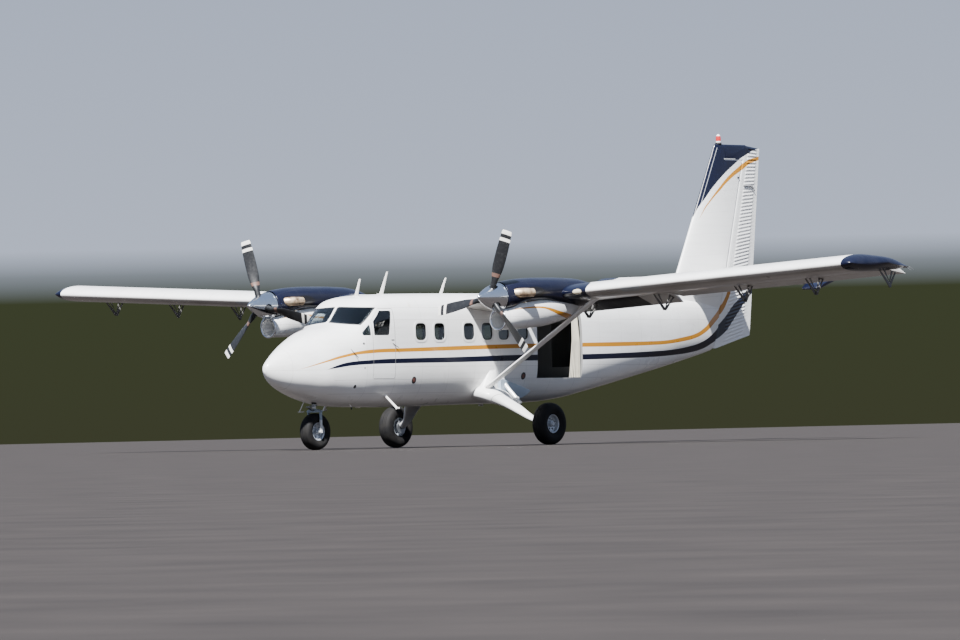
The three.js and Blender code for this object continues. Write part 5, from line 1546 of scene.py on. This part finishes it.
def rudder_ring(z):
    if z <= HORN_Z:
        trail_z = RUDDER_LOW_TRAIL + (HORN_Z - RUDDER_LOW_TRAIL) * (z - RUDDER_LOW) / (HORN_Z - RUDDER_LOW)
    else:
        trail_z = HORN_Z + (5.850 - HORN_Z) * (z - HORN_Z) / (5.905 - HORN_Z)
    hinge, trail = fin_hinge(z), fin_trail(trail_z)
    flat = 1 if z < 5.86 else 1 - 0.45 * ((z - 5.86) / 0.045) ** 2
    return [(v * flat, at(hinge + u), z + (trail_z - z) * max(0, u / (trail - hinge)))
            for u, v in beaded_section(rudder_radius(z), trail - hinge, z)]


def horn_ring(z, flat):
    lead = HORN_STATION + (1 - flat) * 0.03
    half = 0.5 * FIN_THICKNESS * (fin_trail(z) - fin_lead(z)) * 0.82 * flat
    rear, radius = fin_hinge(z), rudder_radius(z) * flat
    front = [(lead + 0.05 - 0.05 * math.sin(a), 0.90 * half * math.cos(a))
             for a in np.linspace(0, math.pi, 13)]
    return [(x, at(station), z) for station, x in [*front, (rear, -radius), (rear, radius)]]


levels = list(np.linspace(RUDDER_LOW, 5.860, 322)) + [5.875, 5.888, 5.898, 5.905]
rudder = loft("rudder", [rudder_ring(z) for z in levels])
horn = loft("horn", [horn_ring(z, flat) for z, flat in (
    (HORN_Z + 0.006, 0.97), (HORN_Z + 0.02, 1), (5.870, 0.97), (5.895, 0.88), (5.910, 0.75), (5.918, 0.55))])
cut(rudder, horn, how="UNION")
rudder_paint = tail_paint("rudder_paint", laps=False)
fitted(rudder, "rudder", rudder_paint, "white_skin", ["rudder"], 40)
trimmer = joined("trimmer", tube("fairing", (0.050, 14.480, 5.098), (0.044, 14.790, 5.098), 0.020, 16, 0.014),
                 tube("rod", (0.048, 14.770, 5.098), (0.030, 14.880, 5.000), 0.010, 12),
                 tube("wick", (0, 15.050, 5.845), (0, 15.084, 5.700), 0.006, 10, 0.003))
fitted(trimmer, "rudder", wick_finish, "white_skin")
strap_outline = [(14.262, 5.246), (14.335, 5.246), (14.335, 5.275), (14.262, 5.275)]
fixed_strap = side_bar("strap", rounded(strap_outline, 0.006, 3), -0.0765, 0.0765)
fitted(fixed_strap, "airframe", black_finish, "white_skin")

# Tailplane and elevators
# A straight tailplane of riveted sheet on each side of the fin, and beaded elevators on one torque tube, each
# with a horn round the tip of the tailplane. Parked, their trailing edges stand up a little.


def tail_ring(x):
    whole, rear = TAIL_TRAIL - TAIL_LEAD, TAIL_HINGE - TAIL_RADIUS - 0.016
    return [(x, at(TAIL_LEAD + u * whole), TAIL_Z + v * whole)
            for u, v in aerofoil_ring(0, TAIL_THICKNESS, (rear - TAIL_LEAD) / whole, 22)]


def tail_finish(name):
    """White tail sheet, navy from the root of the horns to the tips."""
    finish = sheet_finish(name)
    x, y, _ = finish.place()
    out = abs(x)
    ribs = out.every(0.460, 0.05)
    spars = abs(y - at(12.70)).least(abs(y - at(13.08)))
    laps = ribs.least(spars).under(0.0025, 0.004)
    pressed(finish, laps, rivets_beside(ribs, y))
    colour = finish.blend(laps * 0.4, weathered(finish, WHITE), (0.28, 0.27, 0.26))
    return coloured(finish, finish.blend(out.over(TAIL_HORN - 0.02), colour, NAVY))


tailplane_paint, elevator_paint = tail_finish("tailplane_paint"), tail_finish("elevator_paint")
tailplane = loft("tailplane", [tail_ring(x) for x in np.linspace(TAIL_ROOT, TAIL_HORN - 0.01, 8)])
cut(tailplane, fin_form(SEAM))
port_and_starboard(main_part(tailplane), "tailplane_panel", tailplane_paint, "white_skin",
                   nodes="tailplane_{}")

elevator_length = TAIL_TRAIL - TAIL_HINGE


def elevator_ring(x, flat=1.0):
    length = elevator_length * (0.96 if flat < 1 else 1)
    height = 0.007 if flat == 1 else 0
    return [(x, u, v) for u, v in beaded_section(TAIL_RADIUS * flat, length, x, height)]


def elevator_horn_ring(x, flat):
    reach = HORN_LEAD - TAIL_HINGE
    front = [(reach * (0.62 + 0.38 * math.sin(t)), 0.056 * math.cos(t)) for t in np.linspace(0, math.pi, 17)]
    ring = [*front, (0, -TAIL_RADIUS * 0.98), (0, TAIL_RADIUS * 0.98)]
    return [(x, u * (1 + (flat - 1) * 0.3), v * flat) for u, v in ring]


spans = list(np.linspace(0.165, TAIL_TIP - 0.060, 240))
elevator = loft("elevator", [elevator_ring(x) for x in spans]
                + [elevator_ring(TAIL_TIP - 0.060 + 0.060 * t, 1 - 0.5 * t * t)
                   for t in (0.4, 0.7, 0.9, 1.0)])
elevator_horn = loft("horn", [elevator_horn_ring(x, flat) for x, flat in (
    (TAIL_HORN, 0.97), (TAIL_HORN + 0.02, 1), (TAIL_TIP - 0.070, 1), (TAIL_TIP - 0.035, 0.86),
    (TAIL_TIP - 0.012, 0.66), (TAIL_TIP, 0.45))])
cut(elevator, elevator_horn, how="UNION")
elevator.data.transform(Matrix.Translation((0, at(TAIL_HINGE), TAIL_Z))
                        @ Matrix.Rotation(ELEVATOR_REST, 4, "X"))
other = mirrored(elevator, "other")
elevators = joined("elevator_pair", elevator, other, torque_bar(TUBE_RADIUS))
fitted(elevators, "elevators", elevator_paint, "white_skin", ["elevators"], 40)

# Main gear
# A sheet fairing covers each sprung leg from the belly to the axle, with a white brace tube above it and a
# fairing behind its root that is painted blue-grey as painted shade. The tyre runs on a cast wheel with holes
# through its disc, beside its brake.
NOSE_STATION, WHEELBASE, HALF_TRACK = 1.380, 4.530, 1.915
MAIN_STATION = NOSE_STATION + WHEELBASE
leg_table = np.array([
    # x, station, height, chord and depth of the fairing
    [0.560, 5.440, 1.060, 0.620, 0.380], [0.860, 5.425, 0.985, 0.620, 0.270],
    [1.010, 5.455, 0.935, 0.610, 0.250], [1.260, 5.620, 0.755, 0.410, 0.130],
    [1.560, 5.822, 0.512, 0.232, 0.080], [1.735, 5.900, 0.422, 0.168, 0.110],
])
hip_table = np.array([
    # height, x and station of the hip above it, and its half widths across and along
    [0.980, 0.820, 5.420, 0.160, 0.310], [1.200, 0.820, 5.480, 0.122, 0.220],
    [1.340, 0.830, 5.520, 0.088, 0.160], [1.430, 0.840, 5.540, 0.048, 0.115],
])
MAIN_WHEEL = dict(radius=0.400, width=0.288, rim=0.178)
NOSE_WHEEL = dict(radius=0.344, width=0.250, rim=0.172)


def leg_ring(place):
    x, station, z, chord, depth = (smooth_through(np.arange(6.0), leg_table[:, c], place) for c in range(5))
    if place < 2.35:
        chord, depth = chord + 0.016, depth + 0.018
    ring = []
    for k in range(64):
        angle = 2 * math.pi * (k + 0.5) / 64
        c = math.copysign(abs(math.cos(angle)) ** 0.8, math.cos(angle))
        s = math.copysign(abs(math.sin(angle)) ** 0.8, math.sin(angle))
        lift = depth / 2 * s
        ring.append((x + lift * 0.55, at(station + chord / 2 * c), z + lift * 0.84))
    return ring


def hip_ring(place):
    z, x, station, across, along = (smooth_through(np.arange(4.0), hip_table[:, c], place) for c in range(5))
    return [(x + across * math.cos(a), at(station + along * math.sin(a)), z) for a in around(64)]


gear_finish = skin_paint("gear_paint", 9.0, (9.0,), stripes=False)
leg = loft("leg", [leg_ring(p) for p in sorted([*np.linspace(0, 5, 48), 2.349, 2.351])])
cut(leg, loft("hip", [hip_ring(p) for p in np.linspace(0, 3, 16)]), how="UNION")
cut(leg, hull_tool(4.8, 6.2))
port_and_starboard(main_part(leg), "main_leg_fairing", gear_finish, "gear_steel", nodes="main_gear_leg_{}")
fillet_rows = [
    # station, lowest and highest point, and width
    (5.62, 0.900, 1.290, 0.985), (5.95, 0.885, 1.215, 0.955), (6.30, 0.895, 1.130, 0.925),
    (6.52, 0.970, 1.075, 0.900), (6.60, 1.020, 1.050, 0.885)]


def fillet_ring(station, low, high, wide, root=0.70):
    outline = rounded([(root, low), (wide, low), (wide, high), (root, high)], 0.02, 4)
    return [(x, at(station), z) for x, z in outline]


fillet = loft("fillet", [fillet_ring(*row) for row in fillet_rows])
cut(fillet, hull_tool(5.4, 6.9))
# Painted shade and painted sky reflection: the fairing behind the root faces aft and down, so it is coloured
# blue-grey.
shaded_fairing_finish = plain_finish("fairing_painted_shade", (0.30, 0.37, 0.45), 0.35, coat_weight=0.3)
port_and_starboard(main_part(fillet), "leg_rear_fairing", shaded_fairing_finish, "gear_steel")
brace_low, brace_high = (1.300, 5.810, 0.800), (0.830, 5.770, 1.290)
brace = joined("brace", tube("brace", brace_low, brace_high, 0.036, 32),
               tube("eye", (0.868, 5.735, 1.262), (0.868, 5.805, 1.262), 0.062, 32),
               tube("collar", (1.24, 5.805, 0.862), (1.21, 5.8024, 0.894), 0.046, 32))
port_and_starboard(brace, "leg_brace", gear_finish, "gear_steel")
WHEEL_Z = MAIN_WHEEL["radius"]


def crosswise(name, x0, x1, station, z, radius, sides=32, end_radius=None):
    """A round bar along X."""
    return tube(name, (x0, station, z), (x1, station, z), radius, sides, end_radius)


axle = joined("axle", crosswise("axle", 1.690, HALF_TRACK + 0.070, MAIN_STATION, WHEEL_Z, 0.033),
              crosswise("brake_plate", 1.772, 1.790, MAIN_STATION, WHEEL_Z, 0.128, 48),
              crosswise("caliper", 1.768, 1.806, MAIN_STATION + 0.085, WHEEL_Z + 0.07, 0.045, 16))
steel_finish = plain_finish("gear_steel_finish", (0.30, 0.31, 0.33), 0.35, 60.0, 0.0003, metallic=0.85)
port_and_starboard(axle, "main_axle", steel_finish, "gear_steel")


def wheel_turned(name, profile, x, station, height, sides=112):
    """A closed turned ring about a line along X, from radii and distances along it."""
    return loft(name, [[(x + along, at(station) + r * math.cos(a), height + r * math.sin(a))
                        for a in around(sides)] for r, along in profile], closed=True)


def tyre(name, wheel, x, station):
    radius, width, rim = wheel["radius"], wheel["width"], wheel["rim"]
    half, profile = width / 2, [(rim + 0.001, -width / 2 * 0.70)]
    for a in np.linspace(-math.pi / 2, math.pi / 2, 61):
        s, c = math.sin(a), abs(math.cos(a))
        along = half * math.copysign(abs(s) ** 0.75, s)
        r = radius - (radius - rim) * 0.62 * (1 - c ** 0.75)
        for groove in (0.16, 0.42):
            r -= 0.006 * max(0.0, 1 - (abs(abs(along) / half - groove) / 0.045) ** 4)
        profile.append((r, along))
    profile.append((rim + 0.001, half * 0.70))
    return wheel_turned(name, profile, x, station, radius)


def wheel_disc(name, wheel, x, station, bore, holes, size, side=1):
    """A cast rim with a flange each side, a dished disc with round holes, bolts and a hub cap."""
    radius, rim, half = wheel["radius"], wheel["rim"], wheel["width"] * 0.34
    r = rim - SEAM
    disc = wheel_turned(name, [
        (bore, -half * 0.55), (r * 0.30, -half * 0.55), (r * 0.34, -half * 0.30), (r * 0.80, -half * 0.42),
        (r * 0.88, -half * 0.93), (r * 0.97, -half), (r, -half * 0.97), (r, half * 0.97), (r * 0.97, half),
        (r * 0.88, half * 0.93), (r * 0.80, half * 0.42), (r * 0.34, half * 0.30), (r * 0.30, half * 0.80),
        (bore, half * 0.86)], x, station, radius)
    bores, bolts = [], []
    for k in range(holes):
        a, b = 2 * math.pi * (k + 0.5) / holes, 2 * math.pi * k / holes
        bores.append(crosswise("hole", x - half * 2, x + half * 2, station + r * 0.58 * math.cos(a),
                               radius + r * 0.58 * math.sin(a), r * size, 24))
        for along in (-half, half):
            bolts.append(crosswise("bolt", x + along * 0.34, x + along * 0.58,
                                   station + r * 0.78 * math.cos(b), radius + r * 0.78 * math.sin(b),
                                   0.009, 6))
    cut(disc, joined("holes", *bores))
    half *= side
    cap = crosswise("cap", x + half * 0.60, x + half * 1.02, station, radius, r * 0.25, 40, r * 0.20)
    return joined(name, disc, *bolts, cap)


tyre_finish = Finish("tyre_rubber", (0.006, 0.006, 0.007), 0.8, specular_ior_level=0.2)
rub = tyre_finish.noise(8, 5)
tyre_finish.paint(rub.over(0.5, 0.4) * 0.5, (0.005, 0.005, 0.006), (0.022, 0.020, 0.017))
tyre_finish.set("Roughness", rub * 0.25 + 0.62)
tyre_finish.raised(tyre_finish.noise(90, 3), 0.0006)
tyre_finish.close(0.6)
rim_finish = plain_finish("cast_rim", (0.50, 0.53, 0.57), 0.4, 50.0, 0.0004, metallic=0.6)
for ending, side in (("left", 1), ("right", -1)):
    x = side * HALF_TRACK
    made = tyre(f"main_tyre_ring_{ending}", MAIN_WHEEL, x, MAIN_STATION)
    fitted(made, f"main_wheel_{ending}", tyre_finish, "tyre", [f"main_tyre_{ending}"], 40)
    made = wheel_disc(f"main_wheel_disc_{ending}", MAIN_WHEEL, x, MAIN_STATION, 0.040, 8, 0.13, side)
    fitted(made, f"main_wheel_{ending}", rim_finish, "rim", [f"main_rim_{ending}"], 30)

# Nose gear
# A steel oleo leg comes down out of the belly to a fork that steers with the wheel. Scissor links join a
# collar round the leg to the fork, and they turn with it.
leg_station = NOSE_STATION - 0.020
sleeve = joined("sleeve", tube("tube", (0, leg_station, 0.790), (0, leg_station, 0.960), 0.036, 40),
                tube("foot", (0, leg_station, 0.774), (0, leg_station, 0.792), 0.041, 40))
fitted(sleeve, "airframe", gear_finish, "strut_steel", ["nose_gear_leg"])
boot = cut(tube("boot", (0, leg_station, 0.850), (0, leg_station, 0.930), 0.044, 40, 0.060),
           tube("core", (0, leg_station, 0.84), (0, leg_station, 0.94), 0.0365, 40))
fitted(boot, "airframe", seal_finish, "strut_steel")
WHEEL_GAP = NOSE_WHEEL["width"] / 2 + 0.012
REACH, NOSE_Z = WHEEL_GAP + 0.022, NOSE_WHEEL["radius"]
crown_outline = [(-REACH, 0.700), (REACH, 0.700), (REACH, 0.735), (0.070, 0.762), (-0.070, 0.762),
                 (-REACH, 0.735)]
crown = front_bar("crown", rounded(crown_outline, 0.018), NOSE_STATION - 0.050, NOSE_STATION + 0.042)
arm_outline = rounded([(NOSE_STATION - 0.022, NOSE_Z - 0.030), (NOSE_STATION + 0.022, NOSE_Z - 0.030),
                       (NOSE_STATION + 0.026, 0.740), (NOSE_STATION - 0.034, 0.740)], 0.015)
arms = []
for side in (1, -1):
    arms.append(side_bar("arm", arm_outline, side * WHEEL_GAP, side * REACH))
    arms.append(crosswise("boss", side * (WHEEL_GAP - 0.003), side * (REACH + 0.004), NOSE_STATION,
                          NOSE_Z, 0.032))
fork = joined("nose_fork_form", crown, *arms,
              crosswise("axle", -REACH - 0.008, REACH + 0.008, NOSE_STATION, NOSE_Z, 0.0255),
              tube("swivel", (0, leg_station, 0.7625), (0, leg_station, 0.7680), 0.040, 40))
fork_finish = Finish("fork_paint", (0.40, 0.46, 0.52), 0.35, coat_weight=0.3)
_, _, fork_height = fork_finish.place()
scuffs = fork_finish.noise(9.0, 4).over(0.55, 0.3) * 0.3
# Painted light and shade: whitish below 0.56 m where the sun reaches the fork, blue-grey above it as painted
# shade under the belly. The dark scuffs are wear.
fork_lit_and_shaded_colour = fork_finish.blend(fork_height.under(0.560, 0.02), (0.26, 0.33, 0.40), (0.74, 0.75, 0.75))
fork_finish.paint(scuffs, fork_lit_and_shaded_colour, (0.12, 0.12, 0.12))
fork_finish.set("Roughness", fork_finish.noise(12.0, 3) * 0.3 + 0.25)
fork_finish.raised(fork_finish.noise(60.0, 3), 0.0003)
fork_finish.close(0.5)
fitted(fork, "nose_fork", fork_finish, "strut_steel", ["nose_fork"])
collar = cut(tube("collar", (0, leg_station, 0.812), (0, leg_station, 0.836), 0.054, 40),
             tube("core", (0, leg_station, 0.80), (0, leg_station, 0.85), 0.042, 40))
link_ends = (((0.030, 1.318, 0.824), (0.020, 1.190, 0.806)), ((0.018, 1.190, 0.800), (0.034, 1.318, 0.742)))
link_bars = [tube("link", (side * x0, s0, z0), (side * x1, s1, z1), 0.012, 12)
             for (x0, s0, z0), (x1, s1, z1) in link_ends for side in (-1, 1)]
links = joined("links", main_part(collar), *link_bars,
               crosswise("pin", -0.036, 0.036, 1.188, 0.804, 0.015, 16))
fitted(links, "nose_fork", steel_finish, "strut_steel")
made = tyre("nose_tyre_ring", NOSE_WHEEL, 0, NOSE_STATION)
fitted(made, "nose_wheel", tyre_finish, "tyre", ["nose_tyre"], 40)
made = wheel_disc("nose_wheel_disc", NOSE_WHEEL, 0, NOSE_STATION, 0.032, 5, 0.20)
fitted(made, "nose_wheel", rim_finish, "rim", ["nose_rim"], 30)

# Floor, light and camera
# A dark paved floor, a long lens about 120 m away near the ground, a low strong sun and a plain sky with a
# thin bright haze over a dark line.
floor_finish = Finish("asphalt", (0.03, 0.026, 0.025), 0.9, specular_ior_level=0.1)
grit = floor_finish.noise(1.5, 6).over(0.5, 0.5)
floor_finish.paint(grit, (0.024, 0.021, 0.020), (0.036, 0.031, 0.029))
floor_finish.close()
floor = made_of("floor", [(-150, -150, 0), (150, -150, 0), (150, 250, 0), (-150, 250, 0)], [(0, 1, 2, 3)])
floor.data.materials.append(floor_finish.material)
camera_data = bpy.data.cameras.new("camera")
camera_data.lens = 253.15
camera_data.sensor_width = 36
camera_data.clip_end = 1000
camera = placed("camera", camera_data)
azimuth, elevation, roll = -0.697297, 0.0158433, -0.0212033
forward = Vector((math.sin(azimuth) * math.cos(elevation), math.cos(azimuth) * math.cos(elevation),
                  math.sin(elevation)))
right = forward.cross(Vector((0, 0, 1))).normalized()
up = right.cross(forward)
right, up = right * math.cos(roll) + up * math.sin(roll), up * math.cos(roll) - right * math.sin(roll)
place = Vector((82.982, at(-92.844), 0.366))
camera.matrix_world = Matrix((
    (right.x, up.x, -forward.x, place.x), (right.y, up.y, -forward.y, place.y),
    (right.z, up.z, -forward.z, place.z), (0, 0, 0, 1)))
bpy.context.scene.camera = camera
sun_data = bpy.data.lights.new("sun", "SUN")
sun_data.energy, sun_data.angle = 20.0, math.radians(2)
sun = placed("sun", sun_data)
sun.rotation_euler = Vector((-0.38, 0.70, -1.05)).to_track_quat("-Z", "Y").to_euler()
world = bpy.data.worlds.new("sky")
world.use_nodes = True
world_nodes, world_links = world.node_tree.nodes, world.node_tree.links
where = world_nodes.new("ShaderNodeTexCoord")
apart = world_nodes.new("ShaderNodeSeparateXYZ")
height_ramp = world_nodes.new("ShaderNodeValToRGB")
stops = height_ramp.color_ramp.elements
stops[0].position, stops[0].color = 0.0, (0.05, 0.055, 0.03, 1)
stops[1].position, stops[1].color = 1.0, (0.30, 0.42, 0.66, 1)
for position, shade in ((0.022, (0.05, 0.06, 0.03)), (0.026, (0.56, 0.63, 0.78)), (0.10, (0.42, 0.50, 0.68))):
    stops.new(position).color = (*shade, 1)
world_links.new(where.outputs["Generated"], apart.inputs[0])
world_links.new(apart.outputs["Z"], height_ramp.inputs["Fac"])
world_links.new(height_ramp.outputs["Color"], world_nodes["Background"].inputs["Color"])
world_nodes["Background"].inputs["Strength"].default_value = 1.0
bpy.context.scene.world = world
